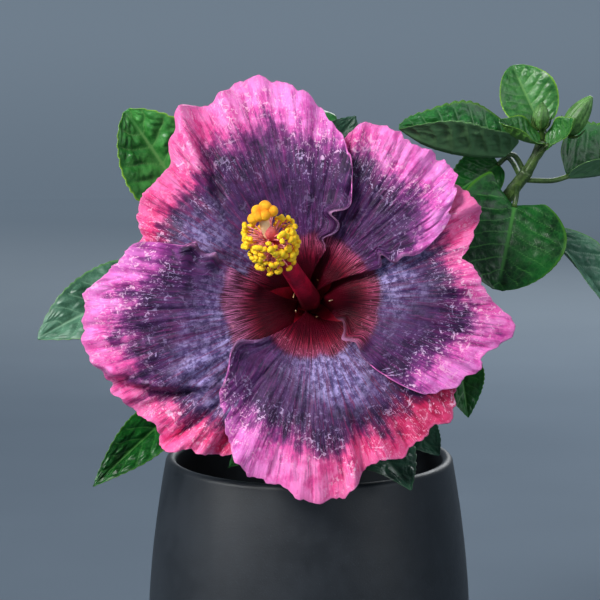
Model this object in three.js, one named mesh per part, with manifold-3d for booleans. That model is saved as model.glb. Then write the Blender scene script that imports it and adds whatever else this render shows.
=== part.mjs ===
// Hibiscus shrub in a tapered pot: one large open bloom in front, a leafy shoot with two buds,
// separate big leaves and masses of foliage on a short forked stem.
// Millimetres, +Z up.  The bloom faces -Y.  The origin is the centre of the pot's flat underside.
import * as THREE from "three";
import { mergeVertices } from "three/addons/utils/BufferGeometryUtils.js";
import Module from "manifold-3d";

const wasm = await Module();
wasm.setup();

// ---- driving dimensions ----
const gap = 0.4; // clearance kept between neighbouring solids
const potHeight = 175;
const potBaseRadius = 63;
const potBellyRadius = 82.5;
const potRimRadius = 73;
const potWall = 5.5;
const potFloor = 9;
const bellyHeight = 88; // where the pot is widest
const soilDepth = 27; // soil surface below the rim
const soilLevel = potHeight - soilDepth;

const throat = new THREE.Vector3(0, -85, 267); // centre of the bloom's throat
const bloomTilt = 8; // degrees the bloom looks upward
const petalBase = 7; // radius where the petals start
const funnelDepth = 28; // how far the throat sinks behind the open petals
const petalThickness = 1.3;
const spiralLift = 3.6; // half the step between a petal's upper and lower side

const stemRadius = 6.2;
const forkHeight = 238;

// ---- small helpers ----
const degrees = Math.PI / 180;
const vec = (x, y, z) => new THREE.Vector3(x, y, z);
const mix = THREE.MathUtils.lerp;

function solidOf(geometry) {
  const bare = geometry.clone();
  bare.deleteAttribute("normal");
  bare.deleteAttribute("uv");
  const merged = mergeVertices(bare, 1e-4);
  return new wasm.Manifold(
    new wasm.Mesh({
      numProp: 3,
      vertProperties: new Float32Array(merged.attributes.position.array),
      triVerts: new Uint32Array(merged.index.array),
    }),
  );
}

function geometryOf(solid) {
  const mesh = solid.getMesh();
  const geometry = new THREE.BufferGeometry();
  geometry.setAttribute("position", new THREE.BufferAttribute(mesh.vertProperties, 3));
  geometry.setIndex(new THREE.BufferAttribute(mesh.triVerts, 1));
  return geometry;
}

// The part of a solid that is left after cutting others away, without the crumbs.
function carve(solid, cutters) {
  const rest = cutters.reduce((left, cutter) => left.subtract(cutter), solid);
  return rest.decompose().sort((a, b) => b.volume() - a.volume())[0];
}

// Faces wound the other way round if the closed surface is inside out.
function closedGeometry(positions, faces) {
  let volume = 0;
  const corner = (i) => vec(positions[3 * i], positions[3 * i + 1], positions[3 * i + 2]);
  for (const [a, b, c] of faces) volume += corner(a).dot(corner(b).cross(corner(c)));
  const turned = volume < 0 ? faces.map(([a, b, c]) => [a, c, b]) : faces;
  const geometry = new THREE.BufferGeometry();
  geometry.setAttribute("position", new THREE.Float32BufferAttribute(positions, 3));
  geometry.setIndex(turned.flat());
  return geometry;
}

// A thin closed blade on both sides of surface(u, v), u from 0 to 1 and v from -1 to 1.
function blade(surface, rows, columns, thickness) {
  const at = (i, j) => surface(i / rows, (2 * j) / columns - 1);
  const step = 1e-3;
  const normalAt = (i, j) => {
    const u = Math.min(Math.max(i / rows, step), 1 - step);
    const v = Math.min(Math.max((2 * j) / columns - 1, step - 1), 1 - step);
    const along = surface(u + step, v).sub(surface(u - step, v));
    const across = surface(u, v + step).sub(surface(u, v - step));
    return along.cross(across).normalize();
  };
  const positions = [];
  const width = columns + 1;
  const sheet = width * (rows + 1);
  for (const side of [0.5, -0.5]) {
    for (let i = 0; i <= rows; i++) {
      for (let j = 0; j <= columns; j++) {
        const point = at(i, j).addScaledVector(normalAt(i, j), side * thickness);
        positions.push(point.x, point.y, point.z);
      }
    }
  }
  const faces = [];
  const quad = (a, b, c, d) => faces.push([a, b, c], [a, c, d]);
  for (let i = 0; i < rows; i++) {
    for (let j = 0; j < columns; j++) {
      const k = i * width + j;
      quad(k, k + width, k + width + 1, k + 1);
      quad(sheet + k, sheet + k + 1, sheet + k + width + 1, sheet + k + width);
    }
  }
  for (let j = 0; j < columns; j++) {
    const last = rows * width + j;
    quad(j, j + 1, sheet + j + 1, sheet + j);
    quad(last + 1, last, sheet + last, sheet + last + 1);
  }
  for (let i = 0; i < rows; i++) {
    const left = i * width;
    const right = left + columns;
    quad(left + width, left, sheet + left, sheet + left + width);
    quad(right, right + width, sheet + right + width, sheet + right);
  }
  return closedGeometry(positions, faces);
}

// A tapering limb along a smooth path, radii from first to last, both ends closed flat.
function limb(path, firstRadius, lastRadius, grow = 0, sides = 7, steps = 5) {
  const curve = new THREE.CatmullRomCurve3(path);
  const frames = curve.computeFrenetFrames(steps, false);
  const positions = [];
  for (let i = 0; i <= steps; i++) {
    const centre = curve.getPointAt(i / steps);
    const radius = mix(firstRadius, lastRadius, i / steps) + grow;
    for (let k = 0; k < sides; k++) {
      const angle = (2 * Math.PI * k) / sides;
      const point = centre.clone();
      point.addScaledVector(frames.normals[i], radius * Math.cos(angle));
      point.addScaledVector(frames.binormals[i], radius * Math.sin(angle));
      positions.push(point.x, point.y, point.z);
    }
  }
  const ends = [path[0], path[path.length - 1]];
  ends.forEach((end) => positions.push(end.x, end.y, end.z));
  const firstEnd = (steps + 1) * sides; // the two end centres follow the rings
  const faces = [];
  for (let i = 0; i < steps; i++) {
    for (let k = 0; k < sides; k++) {
      const next = (k + 1) % sides;
      const a = i * sides + k;
      const b = i * sides + next;
      faces.push([a, b, b + sides], [a, b + sides, a + sides]);
    }
  }
  for (let k = 0; k < sides; k++) {
    const next = (k + 1) % sides;
    faces.push([firstEnd, next, k]);
    faces.push([firstEnd + 1, steps * sides + k, steps * sides + next]);
  }
  return closedGeometry(positions, faces);
}

// An uneven rounded lump: a sphere stretched to its radii, its skin raised and sunk by slow waves.
function lump(centre, radii, phase, unevenness, detail, grow = 0) {
  const geometry = new THREE.IcosahedronGeometry(1, detail);
  const place = geometry.attributes.position;
  for (let i = 0; i < place.count; i++) {
    const d = vec(place.getX(i), place.getY(i), place.getZ(i)).normalize();
    const wave =
      Math.sin(4.1 * d.x + phase) * Math.sin(3.7 * d.z + 2 * phase) + 0.6 * Math.sin(5.3 * d.y + 3 * phase);
    const swell = 1 + unevenness * wave;
    place.setXYZ(
      i,
      centre[0] + d.x * (radii[0] * swell + grow),
      centre[1] + d.y * (radii[1] * swell + grow),
      centre[2] + d.z * (radii[2] * swell + grow),
    );
  }
  return geometry;
}

// ---- materials ----
const paint = (color, roughness, metalness = 0) =>
  new THREE.MeshStandardMaterial({ color, roughness, metalness, flatShading: true });
const potMaterial = paint(0x343b42, 0.6);
const soilMaterial = paint(0x2a1f18, 0.95);
const barkMaterial = paint(0x5a5138, 0.85);
const greenStemMaterial = paint(0x33491f, 0.6);
const foliageMaterial = paint(0x2a4a2c, 0.5);
const leafMaterial = paint(0x2f5a33, 0.4);
const petalMaterial = paint(0x8a3f86, 0.6);
const columnMaterial = paint(0x8a0a24, 0.5);
const antherMaterial = paint(0xf0b81e, 0.7);
const stigmaMaterial = paint(0xf79a22, 0.7);
const budMaterial = paint(0x4f7f38, 0.55);

const plant = new THREE.Group();

function add(name, geometry, material, parent = plant) {
  const mesh = new THREE.Mesh(geometry, material);
  mesh.name = name;
  parent.add(mesh);
  return mesh;
}

// ---- pot and soil ----
// Outer radius: an arc of a parabola above the belly and another below it.
function potOuter(z) {
  const above = z > bellyHeight;
  const reach = above ? potHeight - bellyHeight : bellyHeight;
  const edge = above ? potRimRadius : potBaseRadius;
  const share = Math.abs(z - bellyHeight) / reach;
  return potBellyRadius - (potBellyRadius - edge) * Math.pow(share, above ? 1.7 : 2);
}

function potProfile() {
  const profile = [new THREE.Vector2(0, 0)];
  const outerSteps = 7;
  const lip = potWall / 2;
  for (let i = 0; i <= outerSteps; i++) {
    const z = mix(0, potHeight - lip, i / outerSteps);
    profile.push(new THREE.Vector2(potOuter(z), z));
  }
  const lipCentre = potOuter(potHeight - lip) - lip;
  for (const turn of [50, 90, 130, 180]) {
    const angle = turn * degrees;
    const rise = potHeight - lip + lip * Math.sin(angle);
    profile.push(new THREE.Vector2(lipCentre + lip * Math.cos(angle), rise));
  }
  const innerSteps = 5;
  for (let i = 1; i <= innerSteps; i++) {
    const z = mix(potHeight - lip, potFloor, i / innerSteps);
    profile.push(new THREE.Vector2(potOuter(z) - potWall, z));
  }
  profile.push(new THREE.Vector2(0, potFloor));
  return profile;
}

function soilProfile() {
  const steps = 3;
  const profile = [new THREE.Vector2(0, potFloor + gap)];
  for (let i = 0; i <= steps; i++) {
    const z = mix(potFloor + gap, soilLevel, i / steps);
    profile.push(new THREE.Vector2(potOuter(z) - potWall - 2 * gap, z));
  }
  profile.push(new THREE.Vector2(0, soilLevel));
  return profile;
}

// A turned shape whose axis is upright.
const turned = (profile, segments) => new THREE.LatheGeometry(profile, segments).rotateX(Math.PI / 2);
add("pot", turned(potProfile(), 32), potMaterial);
add("soil", turned(soilProfile(), 32), soilMaterial);

// ---- stem and boughs ----
const fork = vec(2, 3, forkHeight);
const calyxBack = vec(0, -35, 260.2);
const wood = [
  {
    name: "main_stem",
    path: [vec(0, 0, soilLevel + gap), vec(0, 0, 158), vec(3, 1, 190), fork],
    radii: [stemRadius, 4.8],
  },
  {
    name: "bough_top",
    path: [vec(2, 3, forkHeight + gap), vec(-2, 3, 262), vec(-5, -4, 302)],
    radii: [4, 2.6],
  },
  {
    name: "bough_left",
    path: [vec(2, 2, 222), vec(-16, -3, 242), vec(-34, -12, 262)],
    radii: [3.6, 2.4],
  },
  {
    name: "bough_shoot",
    path: [vec(2, 2, 212), vec(36, 4, 240), vec(74, -14, 279), vec(107, -28, 323)],
    radii: [4.2, 3],
    steps: 8,
  },
  {
    name: "bough_right",
    path: [vec(2, 3, 231), vec(12, -2, 246), vec(27, -11, 262)],
    radii: [3.4, 2.4],
  },
  {
    name: "bough_back_left",
    path: [vec(2, 3, 226), vec(-10, 16, 245), vec(-22, 28, 262)],
    radii: [3.6, 2.4],
  },
  {
    name: "bough_back_right",
    path: [vec(2, 3, 218), vec(14, 18, 238), vec(25, 27, 255)],
    radii: [3.6, 2.4],
  },
  {
    name: "bough_low_back",
    path: [vec(2, 2, 204), vec(2, 13, 211), vec(1, 24, 219)],
    radii: [3.2, 2.2],
  },
  {
    name: "shoot_tip",
    path: [vec(107, -28, 323), vec(111, -29, 331), vec(114, -30, 341)],
    radii: [2.6, 1.9],
  },
  {
    name: "flower_stalk",
    path: [vec(-3, -1, 270), vec(-3, -18, 262), calyxBack],
    radii: [2.2, 2.4],
  },
];

const growth = 0.35; // how much a solid is swollen before it cuts its neighbours
const woodCutters = [];
for (const { name, path, radii, steps } of wood) {
  const material = name === "shoot_tip" || name === "flower_stalk" ? greenStemMaterial : barkMaterial;
  const solid = solidOf(limb(path, radii[0], radii[1], 0, 7, steps));
  add(name, geometryOf(carve(solid, woodCutters)), material);
  woodCutters.push(solidOf(limb(path, radii[0], radii[1], growth, 7, steps)));
}

// ---- big leaves ----
// Half-width of an oval leaf along its midrib, 0 at the stalk and 1 at the tip.  A small blunt
// rounds the ends.
const ovate = (s, blunt) =>
  Math.pow(Math.sin(Math.PI * Math.pow(Math.min(Math.max(s, 0.004), 0.992), 0.72)), blunt);

// base and tip of the midrib, the way the upper face looks, full width, fold of each half and the
// further curl of its two margins in degrees, sag of the midrib, and how far each half reaches
// back past the stalk as a share of the length.
function leafSurface(leaf) {
  const { base, tip, face, width, fold = 12, curl = [0, 0] } = leaf;
  const { sag = 0, lobes = [0.05, 0.05], blunt = 0.85 } = leaf;
  const start = vec(...base);
  const line = vec(...tip).sub(start);
  const along = line.clone().normalize();
  const side = along.clone().cross(vec(...face)).normalize();
  const up = side.clone().cross(along).normalize();
  return (u, v) => {
    const sideIndex = v < 0 ? 0 : 1;
    const half = (width / 2) * ovate(u, blunt) * Math.abs(v);
    const bend = (fold + curl[sideIndex] * 0.5 * Math.abs(v)) * degrees;
    const share = u - lobes[sideIndex] * Math.pow(Math.abs(v), 1.5) * Math.pow(1 - u, 2);
    const point = start.clone().addScaledVector(line, share);
    point.addScaledVector(up, sag * 4 * u * (1 - u) + half * Math.sin(bend));
    return point.addScaledVector(side, Math.sign(v) * half * Math.cos(bend));
  };
}

const leaves = [
  { name: "leaf_top_left", base: [-56, -44, 305], tip: [-88, -52, 354],
    face: [-0.2, -0.9, 0.35], width: 48, fold: 14, curl: [50, 10], blunt: 0.62 },
  { name: "leaf_left", base: [-74, -27, 268], tip: [-133, -44, 242],
    face: [0.1, -0.8, 0.6], width: 38, fold: 16, sag: 4, blunt: 0.75 },
  { name: "leaf_lower_left", base: [-64, -22, 205], tip: [-106, -50, 170],
    face: [0.25, -0.8, 0.5], width: 26, fold: 26, sag: 4 },
  { name: "leaf_top", base: [2, -44, 322], tip: [22, -46, 351],
    face: [0.1, -0.9, 0.4], width: 27, fold: 8 },
  { name: "leaf_right_upper", base: [97, -27, 331], tip: [43, -47, 345],
    face: [0.05, -0.35, 0.94], width: 50, fold: 58, sag: -5, blunt: 0.62 },
  { name: "leaf_right_small", base: [94, -13, 325], tip: [66, -24, 308],
    face: [0.1, -0.9, 0.35], width: 25 },
  { name: "leaf_right_round", base: [100, -37, 307], tip: [91, -50, 267],
    face: [0.02, -0.97, 0.22], width: 56, fold: 6, sag: 3, lobes: [0.12, 0.56], blunt: 0.6 },
  { name: "leaf_far_right", base: [118, -24, 291], tip: [158, -17, 238],
    face: [0.5, -0.6, 0.6], width: 30, fold: 34, sag: 4 },
  { name: "leaf_right_top", base: [127, -25, 320], tip: [172, -12, 331],
    face: [-0.2, -0.5, 0.85], width: 54, fold: 52, sag: -4, blunt: 0.7 },
  { name: "leaf_shoot_top", base: [113, -22, 346], tip: [100, -15, 374],
    face: [0.1, -0.95, 0.2], width: 31, fold: 20, lobes: [0.1, 0.1], blunt: 0.6 },
  { name: "leaf_shoot_left", base: [112, -35, 337], tip: [91, -50, 349],
    face: [0.2, -0.5, 0.85], width: 22, fold: 38, sag: -3, blunt: 0.7 },
  { name: "leaf_shoot_right", base: [116, -36, 336], tip: [128, -49, 350],
    face: [-0.6, -0.5, 0.6], width: 20, fold: 34, sag: -3 },
  { name: "leaf_hanging", base: [73, -38, 236], tip: [78, -44, 203],
    face: [0.1, -0.97, 0.1], width: 22, fold: 18 },
  { name: "leaf_over_rim", base: [22, -44, 192], tip: [48, -86, 176],
    face: [0.1, -0.55, 0.83], width: 38, fold: 10, sag: 5 },
  { name: "leaf_pot_right", base: [44, -26, 200], tip: [64, -42, 184],
    face: [0.2, -0.8, 0.55], width: 26 },
  { name: "leaf_in_pot", base: [-6, -16, 187], tip: [-40, -38, 177],
    face: [0, -0.6, 0.8], width: 30, sag: 4 },
];

const leafThickness = 1;
const leafCutters = [];
for (const leaf of leaves) {
  const solid = solidOf(blade(leafSurface(leaf), 5, 4, leafThickness));
  add(leaf.name, geometryOf(carve(solid, [...woodCutters, ...leafCutters])), leafMaterial);
  const wider = leafSurface({ ...leaf, width: leaf.width + 4 * gap });
  const longer = (u, v) => wider(mix(-0.03, 1.03, u), v);
  leafCutters.push(solidOf(blade(longer, 5, 4, leafThickness + 2 * gap)));
}

// ---- buds ----
// A ribbed, pointed bud standing on its stalk: radius at each share of its length.
function bud(base, tip, radius, ribs) {
  const start = vec(...base);
  const line = vec(...tip).sub(start);
  const turn = new THREE.Quaternion().setFromUnitVectors(vec(0, 0, 1), line.clone().normalize());
  const surfaceAt = (u, k, sides) => {
    const swell = Math.pow(Math.sin(Math.PI * Math.pow(u, 0.8)), 0.75) + 0.12 * (1 - u);
    const angle = (2 * Math.PI * k) / sides;
    const r = radius * swell * (1 + 0.06 * Math.cos(ribs * angle));
    return vec(r * Math.cos(angle), r * Math.sin(angle), u * line.length()).applyQuaternion(turn).add(start);
  };
  const sides = 10;
  const steps = 6;
  const positions = [];
  for (let i = 0; i <= steps; i++) {
    for (let k = 0; k < sides; k++) {
      const p = surfaceAt(mix(0.02, 0.97, i / steps), k, sides);
      positions.push(p.x, p.y, p.z);
    }
  }
  const faces = [];
  for (let i = 0; i < steps; i++) {
    for (let k = 0; k < sides; k++) {
      const a = i * sides + k;
      const b = i * sides + ((k + 1) % sides);
      faces.push([a, b, b + sides], [a, b + sides, a + sides]);
    }
  }
  for (let k = 1; k < sides - 1; k++) {
    faces.push([0, k + 1, k]);
    faces.push([steps * sides, steps * sides + k, steps * sides + k + 1]);
  }
  return closedGeometry(positions, faces);
}

const buds = [
  { name: "bud_round", base: [112.5, -33.5, 343.5], tip: [113, -35, 357], radius: 4 },
  { name: "bud_pointed", base: [125, -34, 341], tip: [136.5, -38, 360], radius: 5.4 },
];
for (const { name, base, tip, radius } of buds) {
  const solid = solidOf(bud(base, tip, radius, 5));
  add(name, geometryOf(carve(solid, [...woodCutters, ...leafCutters])), budMaterial);
}

// ---- masses of foliage ----
const masses = [
  { name: "foliage_top", centre: [-7, -10, 326], radii: [35, 26, 30] },
  { name: "foliage_left", centre: [-56, -14, 286], radii: [34, 29, 34] },
  { name: "foliage_right", centre: [50, -14, 284], radii: [31, 28, 34] },
  { name: "foliage_low_left", centre: [-42, 0, 224], radii: [32, 33, 26] },
  { name: "foliage_low_right", centre: [42, -4, 222], radii: [29, 31, 25] },
  { name: "foliage_back_left", centre: [-42, 46, 292], radii: [40, 34, 38] },
  { name: "foliage_back_right", centre: [42, 44, 286], radii: [38, 34, 36] },
  { name: "foliage_back_low", centre: [0, 46, 234], radii: [38, 31, 27] },
];
const massCutters = [...woodCutters, ...leafCutters];
masses.forEach(({ name, centre, radii }, index) => {
  const solid = solidOf(lump(centre, radii, index + 0.7, 0.09, 2));
  add(name, geometryOf(carve(solid, massCutters)), foliageMaterial);
  massCutters.push(solidOf(lump(centre, radii, index + 0.7, 0.09, 2, gap)));
});

// ---- bloom ----
const bloom = new THREE.Group();
bloom.position.copy(throat);
bloom.rotation.x = (90 - bloomTilt) * degrees;
plant.add(bloom);

// Height of the open bloom above the throat, by distance from its axis: a funnel that flares,
// opens nearly flat and bends back a little at the margin.
function flare(r) {
  const funnel = -funnelDepth * Math.exp(-(r - petalBase) / 11);
  return funnel + 7 * Math.min(r / 60, 1) - 5 * Math.pow(r / 100, 4);
}

// Each petal runs from its clockwise side, which lies over the next petal, to its other side, which
// is tucked under the one before.  Reaches are margin distances from the axis at even angles.
const petals = [
  { name: "petal_upper_left", from: 67, to: 182, reach: [56, 76, 94, 105, 106, 107, 98, 94, 86, 72, 56] },
  { name: "petal_upper_right", from: 23, to: 125, reach: [58, 77, 88, 87, 88, 85, 78, 74, 70, 63, 52] },
  { name: "petal_right", from: -47, to: 68, reach: [52, 73, 85, 92, 84, 79, 84, 90, 82, 72, 56] },
  { name: "petal_lower", from: -142, to: -14, reach: [50, 66, 81, 89, 96, 92, 87, 86, 84, 74, 58] },
  { name: "petal_left", from: 156, to: 262, reach: [64, 90, 103, 108, 105, 101, 94, 98, 86, 72, 56] },
];

// Smooth value between evenly spaced samples.
function sampled(values, share) {
  const place = share * (values.length - 1);
  const i = Math.min(Math.floor(place), values.length - 2);
  const ease = THREE.MathUtils.smoothstep(place - i, 0, 1);
  return mix(values[i], values[i + 1], ease);
}

function petalSurface({ from, to, reach }) {
  const middle = (from + to) / 2;
  const halfAngle = (to - from) / 2;
  const pointAt = (u, v) => {
    const r = mix(petalBase, sampled(reach, (v + 1) / 2), u);
    const narrow = 1 - 0.45 * Math.pow(1 - u, 4);
    const angle = (middle + halfAngle * narrow * v) * degrees;
    const ruffle = 2.6 * Math.pow(r / 100, 2) * Math.sin(7 * angle + 1);
    return vec(r * Math.cos(angle), r * Math.sin(angle), flare(r) + ruffle);
  };
  return (u, v) => {
    const point = pointAt(u, v);
    const r = Math.hypot(point.x, point.y);
    const slope = flare(r + 0.5) - flare(r - 0.5);
    const lift = mix(2.4, spiralLift, Math.min(r / 50, 1)) * -v;
    const outward = vec(-slope * (point.x / r), -slope * (point.y / r), 1).normalize();
    return point.addScaledVector(outward, lift);
  };
}

for (const petal of petals) {
  add(petal.name, blade(petalSurface(petal), 8, 11, petalThickness), petalMaterial, bloom);
}

// The staminal column leans up and to the left out of the throat and carries the anthers.
const columnPath = [vec(0, 0, -25), vec(-1, 2, -8), vec(-5, 8, 14), vec(-11.5, 17.5, 35)];
const columnLimb = (grow) => limb(columnPath, 4.8, 3.5, grow, 10, 6);
add("staminal_column", columnLimb(0), columnMaterial, bloom);

const headCentre = vec(-17.6, 26.6, 49.4);
const headAxis = vec(-0.28, 0.59, 0.755).normalize();
const headTurn = new THREE.Quaternion().setFromUnitVectors(vec(0, 0, 1), headAxis);

// A lump whose long axis is turned to the head's, moved to a centre.
function headLump(centre, radii, phase, unevenness, detail, grow = 0) {
  const geometry = lump([0, 0, 0], radii, phase, unevenness, detail, grow).applyQuaternion(headTurn);
  return solidOf(geometry.translate(centre.x, centre.y, centre.z));
}

const headRadii = [12.6, 12.6, 15.5];
const antherHead = headLump(headCentre, headRadii, 0.4, 0.05, 2);
add("anther_head", geometryOf(carve(antherHead, [solidOf(columnLimb(growth))])), antherMaterial, bloom);

// Five stigma pads held together at the very tip.
const stigmaCentre = headCentre.clone().addScaledVector(headAxis, 17);
const stigma = headLump(stigmaCentre, [7.2, 6.2, 4.4], 2.1, 0.12, 1);
const headCutter = headLump(headCentre, headRadii, 0.4, 0.05, 2, gap);
add("stigma", geometryOf(carve(stigma, [headCutter])), stigmaMaterial, bloom);

// The calyx is a small green cup behind the petals, on the end of the flower stalk.
const calyxProfile = [
  new THREE.Vector2(0, -48.8),
  new THREE.Vector2(4.5, -48),
  new THREE.Vector2(9.5, -41),
  new THREE.Vector2(13, -31),
  new THREE.Vector2(18, -20),
  new THREE.Vector2(17, -19.6),
  new THREE.Vector2(12, -28.5),
  new THREE.Vector2(0, -30.5),
];
add("calyx", turned(calyxProfile, 15), budMaterial, bloom);

export default plant;
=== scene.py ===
import math

import bpy
import numpy as np
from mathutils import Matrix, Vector


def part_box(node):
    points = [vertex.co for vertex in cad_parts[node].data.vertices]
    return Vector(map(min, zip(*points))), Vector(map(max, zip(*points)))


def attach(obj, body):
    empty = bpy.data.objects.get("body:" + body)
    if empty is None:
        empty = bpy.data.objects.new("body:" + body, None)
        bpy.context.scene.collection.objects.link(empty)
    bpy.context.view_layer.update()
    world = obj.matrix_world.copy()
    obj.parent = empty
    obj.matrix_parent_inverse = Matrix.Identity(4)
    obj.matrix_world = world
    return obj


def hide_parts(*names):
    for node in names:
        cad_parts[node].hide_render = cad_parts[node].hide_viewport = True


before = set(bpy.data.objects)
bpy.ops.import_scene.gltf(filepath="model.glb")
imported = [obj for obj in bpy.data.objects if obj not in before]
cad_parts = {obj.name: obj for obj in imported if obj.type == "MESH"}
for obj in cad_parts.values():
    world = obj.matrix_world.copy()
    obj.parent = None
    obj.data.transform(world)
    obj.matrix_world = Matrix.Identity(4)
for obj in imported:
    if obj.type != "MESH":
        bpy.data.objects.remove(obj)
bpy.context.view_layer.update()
mm = 0.001  # shapes are worked out in millimetres and stored in metres
golden = math.pi * (3 - math.sqrt(5))  # the angle from one leaf or anther to the next


# shapes on grids
def smoothStep(x, low=0.0, high=1.0):
    # 0 below low, 1 above high, an S curve between them
    s = np.clip((x - low) / (high - low), 0, 1)
    return s * s * (3 - 2 * s)


def bell(x, centre, width):
    # a bell curve, 1 at its centre
    return np.exp(-(((x - centre) / width) ** 2))


def ripple(x, y, seed):
    # even-tempered noise from -1 to 1: random heights on a lattice, blended by S curves
    table = np.random.default_rng(seed).uniform(-1, 1, (64, 64))
    xi, yi = np.floor(x).astype(int), np.floor(y).astype(int)
    fx, fy = smoothStep(x - xi), smoothStep(y - yi)
    corner = lambda right, up: table[(xi + right) % 64, (yi + up) % 64]
    low = corner(0, 0) * (1 - fx) + corner(1, 0) * fx
    high = corner(0, 1) * (1 - fx) + corner(1, 1) * fx
    return low * (1 - fy) + high * fy


def smoothPath(knots, count):
    # a Catmull-Rom curve through the knots, count points at even steps
    k = np.asarray(knots, float)
    k = np.vstack([2 * k[0] - k[1], k, 2 * k[-1] - k[-2]])
    t = np.linspace(0, len(k) - 3, count)
    i = np.minimum(t.astype(int), len(k) - 4)
    f = (t - i)[:, None]
    a, b, c, d = k[i], k[i + 1], k[i + 2], k[i + 3]
    return 0.5 * (2 * b + (c - a) * f + (2 * a - 5 * b + 4 * c - d) * f**2 + (3 * b - a - 3 * c + d) * f**3)


def sampled(values, share):
    # smooth value between evenly spaced samples, share from 0 to 1
    knots = np.stack([values, values], 1)
    fine = smoothPath(knots, 40 * len(values))[:, 0]
    return np.interp(share, np.linspace(0, 1, len(fine)), fine)


def turns(count):
    # even angles once round a circle
    return np.linspace(0, 2 * math.pi, count, endpoint=False)


def unit(v):
    # each vector divided by its length
    return v / np.maximum(np.linalg.norm(v, axis=-1, keepdims=True), 1e-12)


def gridNormals(grid):
    # normals of a grid of points, from the differences along its rows and columns
    return unit(np.cross(np.gradient(grid, axis=0), np.gradient(grid, axis=1)))


def gridQuads(rows, columns, wrapped=False):
    # four-sided faces between neighbouring points; wrapped also joins the last column to the first
    i = np.arange(rows - 1)[:, None]
    j = np.arange(columns if wrapped else columns - 1)[None, :]
    n = (j + 1) % columns
    corners = (i * columns + j, i * columns + n, (i + 1) * columns + n, (i + 1) * columns + j)
    return np.stack(np.broadcast_arrays(*corners), -1).reshape(-1, 4)


def facingOut(points, quads, tris):
    # turns every face round if the closed surface holds a negative volume
    t = np.concatenate([quads[:, [0, 1, 2]], quads[:, [0, 2, 3]], tris])
    a, b, c = points[t[:, 0]], points[t[:, 1]], points[t[:, 2]]
    if np.einsum("ij,ij->", a, np.cross(b, c)) < 0:
        quads, tris = quads[:, ::-1], tris[:, ::-1]
    return points, quads, tris


def closedSheet(front, back):
    # two grids of the same size joined all round their rim
    rows, columns = front.shape[:2]
    n = rows * columns
    index = np.arange(n).reshape(rows, columns)
    face = gridQuads(rows, columns)
    rim = np.concatenate([index[0], index[1:, -1], index[-1, -2::-1], index[-2:0:-1, 0]])
    after = np.roll(rim, -1)
    edge = np.stack([after, rim, rim + n, after + n], 1)
    points = np.concatenate([front.reshape(-1, 3), back.reshape(-1, 3)])
    quads = np.concatenate([face, face[:, ::-1] + n, edge])
    return facingOut(points, quads, np.empty((0, 3), int))


def closedTube(rings):
    # rings of points joined along their length, each end closed by a fan round its middle
    rows, columns = rings.shape[:2]
    n = rows * columns
    j = np.arange(columns)
    k = (j + 1) % columns
    last = n - columns
    ends = np.stack([rings[0].mean(0), rings[-1].mean(0)])
    fans = [[np.full(columns, n), k, j], [np.full(columns, n + 1), last + j, last + k]]
    tris = np.concatenate([np.stack(fan, 1) for fan in fans])
    return facingOut(np.concatenate([rings.reshape(-1, 3), ends]), gridQuads(rows, columns, True), tris)


def pathFrames(path, hint=(0.13, 0.31, 0.94)):
    # two unit directions across a path at each of its points
    along = unit(np.gradient(path, axis=0))
    side = unit(np.cross(along, np.asarray(hint)))
    return side, np.cross(side, along), along


def tubeRings(path, radius, sides, hint=(0.13, 0.31, 0.94)):
    # circles of a changing radius carried along a path; radius may differ round the ring as well
    side, up, _ = pathFrames(path, hint)
    angle = turns(sides)
    radius = np.asarray(radius, float)
    radius = np.broadcast_to(radius.reshape(len(path), -1) if radius.ndim else radius, (len(path), sides))
    ring = np.cos(angle)[None, :, None] * side[:, None] + np.sin(angle)[None, :, None] * up[:, None]
    return path[:, None] + ring * radius[..., None]


def tube(path, radius, sides, hint=(0.13, 0.31, 0.94)):
    # a closed tube of circles carried along a path
    return closedTube(tubeRings(path, radius, sides, hint))


def ball(centre, axis, radii, rows=6, sides=8):
    # a rounded body turned about an axis: radii are its half-width and its half-length
    axis = unit(np.asarray(axis, float))
    polar = np.linspace(0.12, math.pi - 0.12, rows)
    path = np.asarray(centre) - np.cos(polar)[:, None] * radii[1] * axis[None]
    hint = (0.9, 0.1, 0.2) if abs(axis[0]) < 0.8 else (0.1, 0.9, 0.2)  # well off the axis
    return tube(path, radii[0] * np.sin(polar), sides, hint)


def joined(shapes):
    # several closed shapes as one set of points and faces, with each face's shape number
    starts = np.cumsum([0] + [len(s[0]) for s in shapes[:-1]])
    points = np.concatenate([s[0] for s in shapes])
    quads = np.concatenate([s[1] + c for s, c in zip(shapes, starts)])
    tris = np.concatenate([s[2] + c for s, c in zip(shapes, starts)])
    order = np.arange(len(shapes))
    owner = np.concatenate([np.repeat(order, [len(s[part]) for s in shapes]) for part in (1, 2)])
    return (points, quads, tris), owner


def together(shapes):
    # several closed shapes as one shape
    return joined(shapes)[0]


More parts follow.
